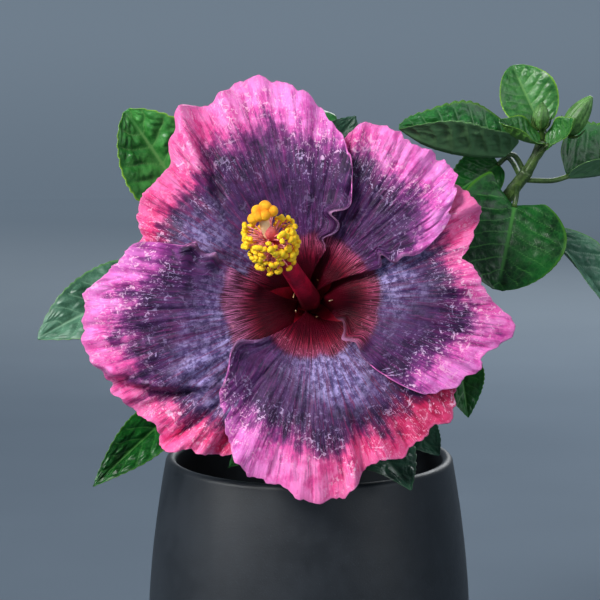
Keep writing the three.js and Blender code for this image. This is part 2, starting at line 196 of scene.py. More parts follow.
def piece(name, shape, materials, nodes=(), faceMaterial=None, places=None, uv=None):
    # puts a shape into a mesh, in metres, says what it rides on and hides the parts that it stands for
    points, quads, tris = shape
    mesh = bpy.data.meshes.new(name)
    mesh.vertices.add(len(points))
    mesh.vertices.foreach_set("co", (points * mm).astype(np.float32).ravel())
    corners = np.concatenate([quads.ravel(), tris.ravel()]).astype(np.int32)
    sizes = np.concatenate([np.full(len(quads), 4), np.full(len(tris), 3)]).astype(np.int32)
    mesh.loops.add(len(corners))
    mesh.loops.foreach_set("vertex_index", corners)
    mesh.polygons.add(len(sizes))
    mesh.polygons.foreach_set("loop_start", (np.cumsum(sizes) - sizes).astype(np.int32))
    mesh.polygons.foreach_set("loop_total", sizes)
    mesh.polygons.foreach_set("use_smooth", np.ones(len(sizes), bool))
    for material in materials:
        mesh.materials.append(material)
    if faceMaterial is not None:
        mesh.polygons.foreach_set("material_index", np.asarray(faceMaterial, np.int32))
    for key, values in (places or {}).items():
        layer = mesh.attributes.new(key, "FLOAT_VECTOR", "POINT")
        layer.data.foreach_set("vector", np.asarray(values, np.float32).ravel())
    if uv is not None:
        layer = mesh.uv_layers.new(name="OFBake")
        layer.data.foreach_set("uv", uv[corners].astype(np.float32).ravel())
    mesh.update(calc_edges=True)
    mesh.validate()
    made = bpy.data.objects.new(name, mesh)
    bpy.context.scene.collection.objects.link(made)
    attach(made, "root")
    if nodes:
        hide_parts(*nodes)
    return made


# material building
def colour(red, green, blue):
    # a screen colour from 0 to 255 as the linear colour that shaders use
    c = np.array([red, green, blue]) / 255
    linear = np.where(c <= 0.04045, c / 12.92, ((c + 0.055) / 1.055) ** 2.4)
    return (*linear.tolist(), 1.0)


class Nodes:
    # a short way to add nodes to a tree: each method but add returns the new node's outputs or its main one

    def __init__(self, tree):
        self.tree = tree

    def add(self, kind, inputs=None, **settings):
        made = self.tree.nodes.new(kind)
        for key, value in settings.items():
            setattr(made, key, value)
        for key, value in (inputs or {}).items():
            if isinstance(value, bpy.types.NodeSocket):
                self.tree.links.new(value, made.inputs[key])
            elif value is not None:
                made.inputs[key].default_value = value
        return made

    def math(self, how, a, b=None):
        return self.add("ShaderNodeMath", {0: a, 1: b}, operation=how).outputs[0]

    def plus(self, a, b):
        return self.math("ADD", a, b)

    def minus(self, a, b):
        return self.math("SUBTRACT", a, b)

    def times(self, a, b):
        return self.math("MULTIPLY", a, b)

    def larger(self, a, b):
        return self.math("MAXIMUM", a, b)

    def step(self, value, low, high, first=0.0, last=1.0):
        # an S curve from first, at low, to last, at high
        inputs = {"Value": value, "From Min": low, "From Max": high, "To Min": first, "To Max": last}
        return self.add("ShaderNodeMapRange", inputs, interpolation_type="SMOOTHSTEP").outputs[0]

    def mix(self, share, a, b):
        return self.add("ShaderNodeMix", {0: share, 6: a, 7: b}, data_type="RGBA").outputs[2]

    def noise(self, vector, scale, detail=3.0, rough=0.55, twist=0.0):
        inputs = {"Vector": vector, "Scale": scale, "Detail": detail, "Roughness": rough}
        return self.add("ShaderNodeTexNoise", {**inputs, "Distortion": twist}).outputs["Fac"]

    def ramp(self, value, stops):
        made = self.add("ShaderNodeValToRGB", {0: value})
        ramp = made.color_ramp
        while len(ramp.elements) < len(stops):
            ramp.elements.new(0.5)
        for element, (place, tint) in zip(ramp.elements, stops):
            element.position = place
            element.color = tint
        return made.outputs[0]

    def split(self, vector):
        # the three parts of a vector
        return self.add("ShaderNodeSeparateXYZ", {0: vector}).outputs

    def join(self, x, y, z=0.0):
        return self.add("ShaderNodeCombineXYZ", {0: x, 1: y, 2: z}).outputs[0]

    def attribute(self, name):
        return self.add("ShaderNodeAttribute", attribute_name=name).outputs["Vector"]

    def place(self):
        return self.add("ShaderNodeTexCoord").outputs["Object"]

    def bump(self, height, strength, distance):
        inputs = {"Height": height, "Strength": strength, "Distance": distance}
        return self.add("ShaderNodeBump", inputs).outputs[0]

    def group(self, group, inputs):
        return self.add("ShaderNodeGroup", inputs, node_tree=group).outputs


def effect(name, inputs, outputs, build):
    # a shader node group with named sockets, built once
    tree = bpy.data.node_groups.new(name, "ShaderNodeTree")
    for label, kind, value in inputs:
        socket = tree.interface.new_socket(label, in_out="INPUT", socket_type=kind)
        if value is not None:
            socket.default_value = value
    for label, kind in outputs:
        tree.interface.new_socket(label, in_out="OUTPUT", socket_type=kind)
    n = Nodes(tree)
    start = n.add("NodeGroupInput").outputs
    results = build(n, start)
    n.add("NodeGroupOutput", dict(results))
    return tree


def finish(name, build, **settings):
    # a material whose Principled shader gets its plain numbers here and its patterns from build
    made = bpy.data.materials.new(name)
    made.use_nodes = True
    n = Nodes(made.node_tree)
    shader = made.node_tree.nodes["Principled BSDF"]
    for key, value in settings.items():
        shader.inputs[key].default_value = value
    for key, value in build(n).items():
        made.node_tree.links.new(value, shader.inputs[key])
    return made


number, vector, tint = "NodeSocketFloat", "NodeSocketVector", "NodeSocketColor"


def buildStreaks(n, start):
    # noise stretched along one direction of a place, cut to soft lines
    x, y, _ = n.split(start["Place"])
    stretched = n.join(n.times(y, start["Across"]), n.times(x, start["Along"]), start["Shift"])
    fine = n.noise(stretched, 1.0, 3.0, 0.6, 0.25)
    return {"Lines": n.step(fine, start["Low"], start["High"]), "Raw": fine}


streaks = effect(
    "fibreStreaks",
    [("Place", vector, None), ("Across", number, 30.0), ("Along", number, 3.0), ("Shift", number, 0.0),
     ("Low", number, 0.45), ("High", number, 0.6)],
    [("Lines", number), ("Raw", number)],
    buildStreaks,
)


def combed(n, place, across, along, shift, low, high):
    # fibre streaks of a place: across and along are how often they change, low and high where a line starts
    inputs = {"Place": place, "Across": across, "Along": along, "Shift": shift, "Low": low, "High": high}
    return n.group(streaks, inputs)


def buildFlecks(n, start):
    # thin wavy dashes: the contour lines of a noise, kept only inside scattered patches
    contour = n.noise(start["Place"], start["Scale"], 2.0, 0.5, 0.6)
    away = n.math("ABSOLUTE", n.minus(contour, 0.5))
    line = n.step(away, start["Width"], n.times(start["Width"], 0.35))
    patch = n.noise(start["Place"], n.times(start["Scale"], 0.9), 2.0, 0.7)
    kept = n.step(patch, start["Cover"], n.plus(start["Cover"], 0.05))
    return {"Fac": n.times(line, kept)}


flecks = effect(
    "scatteredFlecks",
    [("Place", vector, None), ("Scale", number, 300.0), ("Width", number, 0.03), ("Cover", number, 0.52)],
    [("Fac", number)],
    buildFlecks,
)


def scattered(n, place, scale, width, cover):
    # flecks of a scale: width is how thick they are, cover how much of the surface stays bare
    return n.group(flecks, {"Place": place, "Scale": scale, "Width": width, "Cover": cover})["Fac"]


def buildMottle(n, start):
    # one colour varied between a darker and a lighter one by two sizes of noise
    coarse = n.noise(start["Place"], start["Scale"], 3.0, 0.6)
    fine = n.noise(start["Place"], n.times(start["Scale"], 7.0), 2.0, 0.6)
    both = n.plus(n.times(coarse, 0.65), n.times(fine, 0.35))
    share = n.step(both, 0.36, 0.64)
    return {"Color": n.mix(share, start["Dark"], start["Light"]), "Fac": share, "Fine": fine}


mottle = effect(
    "softMottle",
    [("Place", vector, None), ("Scale", number, 40.0), ("Dark", tint, None), ("Light", tint, None)],
    [("Color", tint), ("Fac", number), ("Fine", number)],
    buildMottle,
)


def mottled(n, place, scale, dark, light):
    # the mottle's outputs at a place, between a dark and a light colour
    return n.group(mottle, {"Place": place, "Scale": scale, "Dark": dark, "Light": light})


def mottledLook(scale, dark, light, strength, depth):
    # a look with nothing but mottled colour, its finer noise also raised as bump
    def look(n):
        skin = mottled(n, n.place(), scale, dark, light)
        return {"Base Color": skin["Color"], "Normal": n.bump(skin["Fine"], strength, depth)}

    return look


# pot and compost
potSize = {
    "wall": 5.5, "floor": 9, "foot": 3.0,
    "bellyHeight": 88, "bellyRadius": 82.5, "rimRadius": 73, "baseRadius": 63,
}
potSize["height"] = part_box("pot")[1].z / mm
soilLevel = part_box("soil")[1].z / mm


def potOuter(z):
    # outer radius at a height: the belly's, less a power of the distance from the belly
    above = z > potSize["bellyHeight"]
    reach = np.where(above, potSize["height"] - potSize["bellyHeight"], potSize["bellyHeight"])
    edge = np.where(above, potSize["rimRadius"], potSize["baseRadius"])
    share = np.abs(z - potSize["bellyHeight"]) / reach
    return potSize["bellyRadius"] - (potSize["bellyRadius"] - edge) * share ** np.where(above, 1.7, 2.0)


def arc(cx, cz, radius, start, end, count):
    # points on a circle round (cx, cz) between two angles in degrees
    a = np.radians(np.linspace(start, end, count))
    return np.stack([cx + radius * np.cos(a), cz + radius * np.sin(a)], 1)


def latheShape(profile, segments, waver):
    # a profile of (radius, height) turned once round the upright axis, its radius wavering a little
    angle = turns(segments)
    height = np.repeat(profile[:, 1:], segments, 1)
    radius = profile[:, :1] + waver(angle[None], profile[:, 1:])
    return closedTube(np.stack([radius * np.cos(angle), radius * np.sin(angle), height], -1))


def makePot():
    # the wall's profile from the middle of the underside, over the rounded lip and down to the inner floor
    lip, foot = potSize["wall"] / 2, potSize["foot"]
    top = potSize["height"] - lip
    rise = np.linspace(foot, top, 60)
    rimCentre = float(potOuter(np.array(top))) - lip
    profile = np.concatenate([
        [[0.5, 0]],
        [[potSize["baseRadius"] * 0.6, 0]],
        arc(float(potOuter(np.array(foot))) - foot, foot, foot, -90, -8, 7),
        np.stack([potOuter(rise), rise], 1),
        arc(rimCentre, top, lip, 15, 180, 12),
        np.stack([potOuter(rise[::-2]) - potSize["wall"], rise[::-2]], 1)[1:],
        [[0.5, potSize["floor"]]],
    ])
    waver = lambda a, z: 0.10 * ripple(a * 3, z / 30, 5) + 0.04 * ripple(a * 14, z / 6, 6)
    return latheShape(profile, 192, waver)


def potLook(n):
    # near-black grey with a faint paler speckle and a fine matte grain
    here = n.place()
    body = mottled(n, here, 26.0, colour(24, 28, 33), colour(31, 36, 42))
    grain = n.noise(here, 1400.0, 2.0, 0.7)
    speck = n.step(grain, 0.60, 0.74)
    base = n.mix(n.times(speck, 0.35), body["Color"], colour(64, 70, 78))
    height = n.plus(n.times(grain, 0.7), n.times(body["Fine"], 0.6))
    return {
        "Base Color": base,
        "Roughness": n.step(body["Fac"], 0.0, 1.0, 0.44, 0.52),
        "Normal": n.bump(height, 0.22, 0.0004),
    }


potFinish = finish("matte stoneware", potLook, **{"Specular IOR Level": 0.42})
piece("pot_body", makePot(), [potFinish], ["pot"])


compost = {"lumps": 340, "lumpSize": (0.8, 2.3), "sunk": 3.4, "depth": 22, "gap": 0.7, "seed": 11}


def makeCompost(rng):
    # a crumbly disc, higher in the middle, with lumps scattered over it
    inner = float(potOuter(np.array(soilLevel))) - potSize["wall"] - compost["gap"]
    angle = turns(150)[None]
    bottom = soilLevel - compost["depth"]
    r = inner * np.linspace(0.01, 1, 46)[:, None] + 0 * angle
    x, y = r * np.cos(angle), r * np.sin(angle)
    crumbs = 1.6 * ripple(x / 9, y / 9, 3) + 1.1 * ripple(x / 3.5, y / 3.5, 4)
    z = soilLevel - compost["sunk"] + crumbs + 1.2 * bell(r, 0, 24)
    top = np.stack([x, y, z], -1)
    under = [np.stack([x[-1:] * share, y[-1:] * share, 0 * z[-1:] + bottom], -1) for share in (1, 0.02)]
    shapes = [closedTube(np.concatenate([top, *under]))]
    for _ in range(compost["lumps"]):
        a, q = rng.uniform(0, 2 * math.pi), inner * 0.95 * math.sqrt(rng.uniform(0.02, 1))
        size = rng.uniform(*compost["lumpSize"])
        middle = (q * math.cos(a), q * math.sin(a), soilLevel - 2.6 + rng.uniform(-0.6, 0.7))
        shapes.append(ball(middle, rng.normal(size=3), (size, size * rng.uniform(0.8, 1.9)), 4, 6))
    return together(shapes)


def compostLook(n):
    # dark brown crumbs, the paler ones raised
    crumb = mottled(n, n.place(), 160.0, colour(28, 20, 15), colour(74, 54, 38))
    return {"Base Color": crumb["Color"], "Normal": n.bump(crumb["Fac"], 0.7, 0.0008)}


compostFinish = finish("moist compost", compostLook, Roughness=0.95)
piece("compost", makeCompost(np.random.default_rng(compost["seed"])), [compostFinish], ["soil"])
print("pot and compost made")

# stem and boughs
forkHeight = 238
limbs = {  # each limb's path, and its radius at the start and at the end
    "main_stem": ([(0, 0, soilLevel - 4), (0, 0, 158), (3, 1, 190), (2, 3, forkHeight + 2)], 6.2, 4.8),
    "bough_top": ([(2, 3, forkHeight - 4), (-2, 3, 262), (-5, -4, 302)], 4.4, 2.4),
    "bough_left": ([(2, 2, 220), (-16, -3, 242), (-34, -12, 264)], 3.6, 2.2),
    "bough_shoot": ([(2, 2, 210), (36, 4, 240), (74, -14, 279), (107, -28, 323)], 4.2, 3.1),
    "bough_right": ([(2, 3, 229), (12, -2, 246), (27, -11, 264)], 3.4, 2.2),
    "bough_back_left": ([(2, 3, 224), (-10, 16, 245), (-22, 28, 264)], 3.6, 2.2),
    "bough_back_right": ([(2, 3, 216), (14, 18, 238), (25, 27, 257)], 3.6, 2.2),
    "bough_low_back": ([(2, 2, 202), (2, 13, 211), (1, 26, 221)], 3.2, 2.0),
    "shoot_tip": ([(106.5, -28, 322), (111, -29, 331), (114, -30, 342)], 2.7, 1.7),
    "flower_stalk": ([(-3, -1, 270), (-3, -18, 262), (0, -35, 260.2)], 1.9, 2.6),
}
bark = {"rows": 90, "sides": 40, "ridge": 0.10, "knot": 0.16, "knotEvery": 13, "seed": 40}


def makeLimb(knots, first, last, seed, knotty):
    # a tapering tube whose skin carries lengthwise ridges, low knots and small bumps
    path = smoothPath(knots, bark["rows"])
    share = np.linspace(0, 1, len(path))[:, None]
    angle = turns(bark["sides"])[None]
    radius = first + (last - first) * share
    length = np.linalg.norm(np.diff(path, axis=0), axis=1).sum()
    run = share * length
    x, y = np.cos(angle), np.sin(angle)
    ridges = bark["ridge"] * ripple(x * 3 + 9 + run * 0.02, y * 3 + 9 + run * 0.05, seed)
    bumps = 0.07 * ripple(x * 6 + 20, run * 0.9 + y * 6, seed + 1)
    rings = bark["knot"] * (np.sin(run * 2 * math.pi / bark["knotEvery"] + seed) > 0.93) if knotty else 0
    return tube(path, radius * (1 + ridges + bumps * 0.6) + rings, bark["sides"])


def barkLook(n):
    # grey brown, mottled along the limb, with green showing through in patches
    here = n.place()
    x, y, z = n.split(here)
    stretched = n.join(x, y, n.times(z, 0.35))
    skin = mottled(n, stretched, 260.0, colour(72, 62, 44), colour(126, 116, 84))
    green = n.step(n.noise(here, 60.0, 2.0), 0.5, 0.66)
    return {
        "Base Color": n.mix(n.times(green, 0.5), skin["Color"], colour(74, 88, 46)),
        "Normal": n.bump(skin["Fac"], 0.5, 0.0004),
    }


barkFinish = finish("grey brown bark", barkLook, Roughness=0.8)
greenStemLook = mottledLook(120.0, colour(36, 60, 24), colour(84, 114, 52), 0.25, 0.0002)
greenStemFinish = finish("green stem", greenStemLook, Roughness=0.42)
for order, (name, spec) in enumerate(limbs.items()):
    young = name in ("shoot_tip", "flower_stalk")
    look = greenStemFinish if young or name == "bough_shoot" else barkFinish
    shape = makeLimb(*spec, bark["seed"] + order, not young)
    piece(name + "_skin", shape, [look], [name])
print("stem and boughs made")

# leaves
leafKinds = {
    "teeth": 15,  # teeth on each margin
    "toothDepth": 0.055,
    "veins": 6.5,  # side veins on each half
    "quilt": 1.1,  # how far the blade bulges between veins, mm
    "rib": 0.55,  # how deep the midrib is, mm
    "thickness": 0.45,
    "bigGrid": (80, 47),  # rows along a single big leaf and columns across it
    "smallGrid": (22, 13),  # the same for a leaf of the crown
}


def ovate(s, power=0.72, blunt=1.0):
    # half-width along the midrib: a sine arch, its top nearer the stalk for a small power, and its ends
    # rounder for a small blunt
    return np.sin(math.pi * np.clip(s, 0.003, 0.994) ** power) ** blunt


def leafGrids(spec, rows, columns, seed):
    # front and back of a blade: a midrib line, halves folded and curled up from it, quilted between veins
    start, end = np.asarray(spec["base"], float), np.asarray(spec["tip"], float)
    line = end - start
    length = np.linalg.norm(line)
    along = line / length
    side = unit(np.cross(along, np.asarray(spec["face"], float)))
    up = np.cross(side, along)
    scale = length / 60
    u = np.linspace(0, 1, rows)[:, None] + np.zeros((1, columns))
    even = np.linspace(-1, 1, columns)[None, :] + 0 * u
    v = np.sign(even) * np.abs(even) ** 0.9
    w = np.abs(v)
    left, right = spec.get("curl", (0, 0))
    saw = np.abs(((u * leafKinds["teeth"] + 0.35 * ripple(u * 9, v * 0, seed)) % 1.0) - 0.25)
    tooth = leafKinds["toothDepth"] * spec.get("tooth", 1.0) * (0.4 - saw) * smoothStep(u, 0.16, 0.4)
    arch = ovate(u, spec.get("broad", 0.72), spec.get("blunt", 0.85))
    half = spec["width"] / 2 * arch * (w + tooth * w**7)
    bend = np.radians(spec.get("fold", 12) + np.where(v < 0, left, right) * 0.5 * w)
    lobe = np.where(v < 0, *spec.get("lobes", (0.05, 0.05)))
    share = u - lobe * w**1.5 * (1 - u) ** 2 * smoothStep(u, -0.02, 0.06) + tooth * 0.25 * w**7
    run = u - 0.34 * w * (1 - 0.45 * u) - lobe * 0.4 * w * (1 - u) ** 2
    across = np.abs(((run * leafKinds["veins"] + 0.16 * ripple(u * 5, v * 3, seed + 1)) % 1.0) - 0.5) * 2
    veinLine = smoothStep(across, 0.80, 0.97)
    midrib = np.exp(-((half / (spec["width"] * 0.018 + 0.15)) ** 2)) * smoothStep(1 - u, 0.0, 0.3)
    inside = smoothStep(1 - w, 0, 0.3) * smoothStep(u, 0, 0.12) * smoothStep(1 - u, 0, 0.12)
    quilt = leafKinds["quilt"] * spec.get("quilt", 1.0) * scale * (1 - across**2.2) * inside
    uneven = 0.7 + 0.5 * ripple(u * 13, v * 7, seed + 2) + 0.35 * ripple(u * 26, v * 14, seed + 3)
    quilt *= smoothStep(w, 0.02, 0.3) * uneven
    wave = spec.get("wave", 1.3) * w**2 * np.sin(u * 9 + seed + np.sign(v)) * smoothStep(u, 0, 0.3)
    droop = spec.get("sag", 0) * 4 * u * (1 - u) - spec.get("hook", 0) * u**3
    point = start + share[..., None] * line
    point = point + (droop + half * np.sin(bend) + wave)[..., None] * up
    point = point + (np.sign(v) * half * np.cos(bend))[..., None] * side
    normal = gridNormals(point)
    facing = 1.0 if np.einsum("ijk,k->", normal, up) > 0 else -1.0
    normal = normal * facing
    fade = smoothStep(1 - u, 0, 0.05) * smoothStep(u, 0, 0.03)
    front = point + normal * ((quilt - leafKinds["rib"] * midrib * scale) * fade)[..., None]
    rib = leafKinds["rib"] * midrib + 0.18 * veinLine * inside
    thick = leafKinds["thickness"] * (0.5 + 0.5 * smoothStep(1 - w, 0, 0.2))
    back = front - normal * ((thick + rib) * scale)[..., None]
    mask = np.maximum(midrib, veinLine * 0.75 * smoothStep(1 - w, 0.0, 0.25))
    place = np.stack([u, v, mask], -1)
    return front, back, place


def makeLeaf(spec, grid, seed):
    # a blade's closed shape, its places (along, across, vein) and a mark on its underside
    front, back, place = leafGrids(spec, *grid, seed)
    shape = closedSheet(front, back)
    sides = np.concatenate([np.zeros(front.shape[:2]), np.ones(front.shape[:2])]).ravel()
    return shape, np.concatenate([place.reshape(-1, 3)] * 2), np.stack([sides] * 3, 1)


def buildLeafSkin(n, start):
    # blade colour with pale veins, a brighter rim and a network of fine veins for bump
    _, across, vein = n.split(start["Blade"])
    width = n.math("ABSOLUTE", across)
    body = mottled(n, start["Place"], 42.0, start["Deep"], start["Body"])
    cells = {"Vector": start["Place"], "Scale": 420.0}
    net = n.add("ShaderNodeTexVoronoi", cells, feature="DISTANCE_TO_EDGE").outputs["Distance"]
    netLine = n.step(net, 0.10, 0.02)
    base = n.mix(n.times(netLine, 0.10), body["Color"], start["Vein"])
    base = n.mix(n.times(n.step(vein, 0.25, 0.9), start["VeinShare"]), base, start["Vein"])
    rim = n.times(n.step(width, 0.93, 0.995), start["RimShare"])
    base = n.mix(rim, base, start["Rim"])
    under = n.split(start["Under"])[0]
    base = n.mix(n.times(under, 0.75), base, start["Below"])
    height = n.minus(n.times(body["Fine"], 0.4), n.times(netLine, 0.6))
    rough = n.plus(n.step(body["Fac"], 0, 1, 0.28, 0.38), n.times(under, 0.25))
    return {"Color": base, "Height": height, "Roughness": rough}


leafSkin = effect(
    "leafSkin",
    [("Place", vector, None), ("Blade", vector, None), ("Under", vector, None)]
    + [(name, tint, None) for name in ("Deep", "Body", "Vein", "Rim", "Below")]
    + [(name, number, 0.5) for name in ("VeinShare", "RimShare")],
    [("Color", tint), ("Height", number), ("Roughness", number)],
    buildLeafSkin,
)


def leafFinish(name, deep, body, vein, rim, below, veinShare, rimShare, specular=0.45):
    # leaf skin in five greens: hollows, body, veins, rim and underside, and how much veins and rim show
    def look(n):
        inputs = {
            "Place": n.place(), "Blade": n.attribute("blade"), "Under": n.attribute("under"),
            "Deep": colour(*deep), "Body": colour(*body), "Vein": colour(*vein), "Rim": colour(*rim),
            "Below": colour(*below), "VeinShare": veinShare, "RimShare": rimShare,
        }
        skin = n.group(leafSkin, inputs)
        normal = n.bump(skin["Height"], 0.15, 0.0003)
        return {"Base Color": skin["Color"], "Roughness": skin["Roughness"], "Normal": normal}

    return finish(name, look, **{"Specular IOR Level": specular})


leafLooks = {
    "dark": leafFinish("dark glossy leaf", (6, 44, 12), (16, 92, 28), (80, 146, 66), (92, 150, 44),
                       (66, 116, 60), 0.7, 0.5, 0.34),
    "mid": leafFinish("glossy leaf", (18, 74, 28), (46, 122, 54), (118, 168, 104), (112, 160, 50),
                      (104, 150, 100), 0.5, 0.5),
    "bright": leafFinish("young glossy leaf", (28, 88, 36), (64, 128, 60), (140, 190, 104), (132, 186, 36),
                         (92, 146, 56), 0.35, 0.85),
    "fresh": leafFinish("fresh glossy leaf", (30, 104, 38), (74, 152, 70), (140, 192, 110), (146, 196, 60),
                        (96, 150, 70), 0.4, 0.8),
    # the next look is painted reflection: pale, bluish greens that paint the sky's sheen on leaves that
    # face up into it
    "paintedSkySheen": leafFinish("leaf with painted sky sheen", (40, 84, 60), (84, 130, 104), (140, 182, 148), (110, 160, 80),
                        (96, 140, 104), 0.5, 0.5),
    # the next look is painted shade: darker, bluer greens for leaves that hang under the bloom or inside
    # the crown
    "grey": leafFinish("leaf with painted shade", (14, 46, 32), (34, 80, 56), (88, 126, 98), (80, 116, 70),
                       (74, 108, 80), 0.45, 0.3),
}

# base, tip: the ends of the midrib; face: where the upper side looks; width and sag in mm
# fold: how far both halves rise, in degrees; curl: a further rise of each half's margin
# lobes: how far each half reaches back past the stalk; broad and blunt: see ovate
# tooth, quilt: the margin's teeth and the swelling between veins, against the usual ones
bigLeaves = {
    "leaf_top_left": dict(
        base=(-56, -44, 305), tip=(-88, -52, 354), face=(-0.2, -0.9, 0.35), width=48, fold=14,
        curl=(50, 10), look="fresh", quilt=2.0, wave=2.2, blunt=0.62, broad=0.95,
    ),
    "leaf_left": dict(
        base=(-74, -27, 268), tip=(-133, -44, 242), face=(0.1, -0.8, 0.6), width=38, fold=16, sag=4,
        look="paintedSkySheen", blunt=0.75,
    ),
    "leaf_lower_left": dict(
        base=(-64, -22, 205), tip=(-106, -50, 170), face=(0.25, -0.8, 0.5), width=26, fold=26, sag=4,
        look="dark",
    ),
    "leaf_top": dict(
        base=(2, -44, 322), tip=(22, -46, 351), face=(0.1, -0.9, 0.4), width=27, fold=8, look="grey",
    ),
    "leaf_right_upper": dict(
        base=(97, -27, 331), tip=(43, -47, 345), face=(0.05, -0.35, 0.94), width=50, fold=58, sag=-5,
        look="mid", quilt=1.9, blunt=0.62,
    ),
    "leaf_right_small": dict(
        base=(94, -13, 325), tip=(66, -24, 308), face=(0.1, -0.9, 0.35), width=25, look="dark",
    ),
    "leaf_right_round": dict(
        base=(100, -37, 307), tip=(91, -50, 267), face=(0.02, -0.97, 0.22), width=56, fold=6,
        lobes=(0.14, 0.42), sag=3, look="dark", tooth=0.25, quilt=0.7, blunt=0.55, broad=0.78,
    ),
    "leaf_far_right": dict(
        base=(118, -24, 291), tip=(158, -17, 238), face=(0.5, -0.6, 0.6), width=30, fold=34, sag=4,
        look="paintedSkySheen",
    ),
    "leaf_right_top": dict(
        base=(127, -25, 320), tip=(172, -12, 331), face=(-0.2, -0.5, 0.85), width=54, fold=52, sag=-4,
        look="mid", blunt=0.7,
    ),
    "leaf_shoot_top": dict(
        base=(113, -22, 346), tip=(100, -15, 374), face=(0.1, -0.95, 0.2), width=31, fold=20,
        lobes=(0.1, 0.1), look="bright", tooth=0.35, blunt=0.55, broad=0.85,
    ),
    "leaf_shoot_left": dict(
        base=(112, -35, 337), tip=(91, -50, 349), face=(0.2, -0.5, 0.85), width=22, fold=38, sag=-3,
        look="bright", tooth=0.6, blunt=0.7,
    ),
    "leaf_shoot_right": dict(
        base=(116, -36, 336), tip=(128, -49, 350), face=(-0.6, -0.5, 0.6), width=20, fold=34, sag=-3,
        look="bright", tooth=0.6,
    ),
    "leaf_hanging": dict(
        base=(73, -38, 236), tip=(78, -44, 203), face=(0.1, -0.97, 0.1), width=22, fold=18, look="dark",
    ),
    "leaf_over_rim": dict(
        base=(22, -44, 192), tip=(48, -86, 176), face=(0.1, -0.55, 0.83), width=38, fold=10, sag=5,
        look="grey",
    ),
    "leaf_pot_right": dict(
        base=(44, -26, 200), tip=(64, -42, 184), face=(0.2, -0.8, 0.55), width=26, look="grey",
    ),
    "leaf_in_pot": dict(
        base=(-6, -16, 187), tip=(-40, -38, 177), face=(0, -0.6, 0.8), width=30, sag=4, look="dark",
    ),
}

limbPoints = np.concatenate([smoothPath(limbs[name][0], 60) for name in limbs if name != "flower_stalk"])
stalk = {"thickness": 1.3, "reach": 0.35, "back": 14, "drop": 8.0}


def stalkTo(base, towards):
    # a leaf's stalk: it leaves the blade backwards and bends to the nearest point of a limb below it
    base, towards = np.asarray(base, float), unit(np.asarray(towards, float))
    wanted = base - towards * stalk["back"] + np.array([0, 0, -stalk["drop"]])
    anchor = limbPoints[np.argmin(np.linalg.norm(limbPoints - wanted, axis=1))]
    span = np.linalg.norm(anchor - base)
    bend = base - towards * span * stalk["reach"]
    path = smoothPath([base + towards * 0.8, bend, anchor * 0.8 + base * 0.2 - towards * 2, anchor], 16)
    radius = stalk["thickness"] * (1 + 0.35 * bell(np.linspace(0, 1, 16), 1, 0.2))
    return tube(path, radius, 9, (0.3, 0.1, 0.93))


stalks = []
for order, (name, spec) in enumerate(bigLeaves.items()):
    shape, blade, under = makeLeaf(spec, leafKinds["bigGrid"], 200 + order)
    places = {"blade": blade, "under": under}
    piece(name + "_blade", shape, [leafLooks[spec["look"]]], [name], places=places)
    stalks.append(stalkTo(spec["base"], np.subtract(spec["tip"], spec["base"])))
piece("leaf_stalks", together(stalks), [greenStemFinish])
print("big leaves made")

# foliage
foliage = {  # each mass and the bough that it grows from
    "foliage_top": "bough_top", "foliage_left": "bough_left", "foliage_right": "bough_right",
    "foliage_low_left": "bough_low_back", "foliage_low_right": "bough_low_back",
    "foliage_back_left": "bough_back_left", "foliage_back_right": "bough_back_right",
    "foliage_back_low": "bough_low_back",
}
sprays = {
    "twigs": 6, "leavesPerTwig": 5, "seed": 71,
    "leafLength": (44, 58), "shortest": 20,
    "leafWidth": (0.6, 0.74),  # as a share of the length
    "spread": 0.62,  # how far the twigs reach, as a share of the mass
    "limit": 1.22,  # how far the leaf tips may reach, as a share of the mass
    "frontLimit": 0.94,  # the same for the masses behind the open bloom
}
frontMasses = ("foliage_top", "foliage_left", "foliage_right")


def growMass(name, bough, rng):
    # twigs fan out from the bough's end to the mass's skin, each with leaves placed turn by turn
    low, high = (np.array(corner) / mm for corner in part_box(name))
    middle, half = (low + high) / 2, (high - low) / 2
    wood = smoothPath(limbs[bough][0], 40)
    limit = sprays["frontLimit" if name in frontMasses else "limit"]
    twigs, leafSpecs = [], []
    for t in range(sprays["twigs"]):
        level = 1 - 2 * (t + 0.5) / sprays["twigs"]
        turn = golden * t + rng.uniform(0, 1.2)
        ring = math.sqrt(1 - level * level)
        way = np.array([ring * math.cos(turn), ring * math.sin(turn), level * 0.8 + 0.15])
        end = middle + half * way * sprays["spread"]
        root = wood[39 - int(18 * (0.37 * t % 1.0))]
        bend = (root + end) / 2 + rng.normal(0, 2.5, 3) + np.array([0, 0, 3.0])
        path = smoothPath([root, bend, end], 14)
        twigs.append(tube(path, np.linspace(1.7, 0.9, 14), 8))
        for k in range(sprays["leavesPerTwig"]):
            at = path[5 + int(8 * (k + 1) / sprays["leavesPerTwig"])]
            spin = golden * (k + 2.3 * t)
            out = unit(end - root)
            sideways = np.array([math.cos(spin), math.sin(spin), rng.uniform(-0.25, 0.35)])
            heading = unit(out * (0.7 + 0.5 * (k == sprays["leavesPerTwig"] - 1)) + sideways * 0.8)
            length = rng.uniform(*sprays["leafLength"])
            base = at + heading * rng.uniform(6, 10)
            tip = base + heading * length
            reach = np.linalg.norm((tip - middle) / (half * limit))
            if reach > 1:
                tip = middle + (tip - middle) / reach
            length = np.linalg.norm(tip - base)
            if length < sprays["shortest"]:
                continue
            outward = unit(at - np.array([0, 5, 250]))
            face = unit(np.array([0, 0, 0.9]) + outward * 0.8 + rng.normal(0, 0.2, 3))
            width = length * rng.uniform(*sprays["leafWidth"])
            leafSpecs.append(dict(base=base, tip=tip, face=face, width=width, fold=rng.uniform(8, 22),
                                  sag=rng.uniform(2, 6), hook=rng.uniform(0, 3), wave=1.0))
            ownStalk = smoothPath([at, (at + base) / 2 + [0, 0, 1.5], base + heading], 7)
            twigs.append(tube(ownStalk, 0.7, 6))
    return twigs, leafSpecs


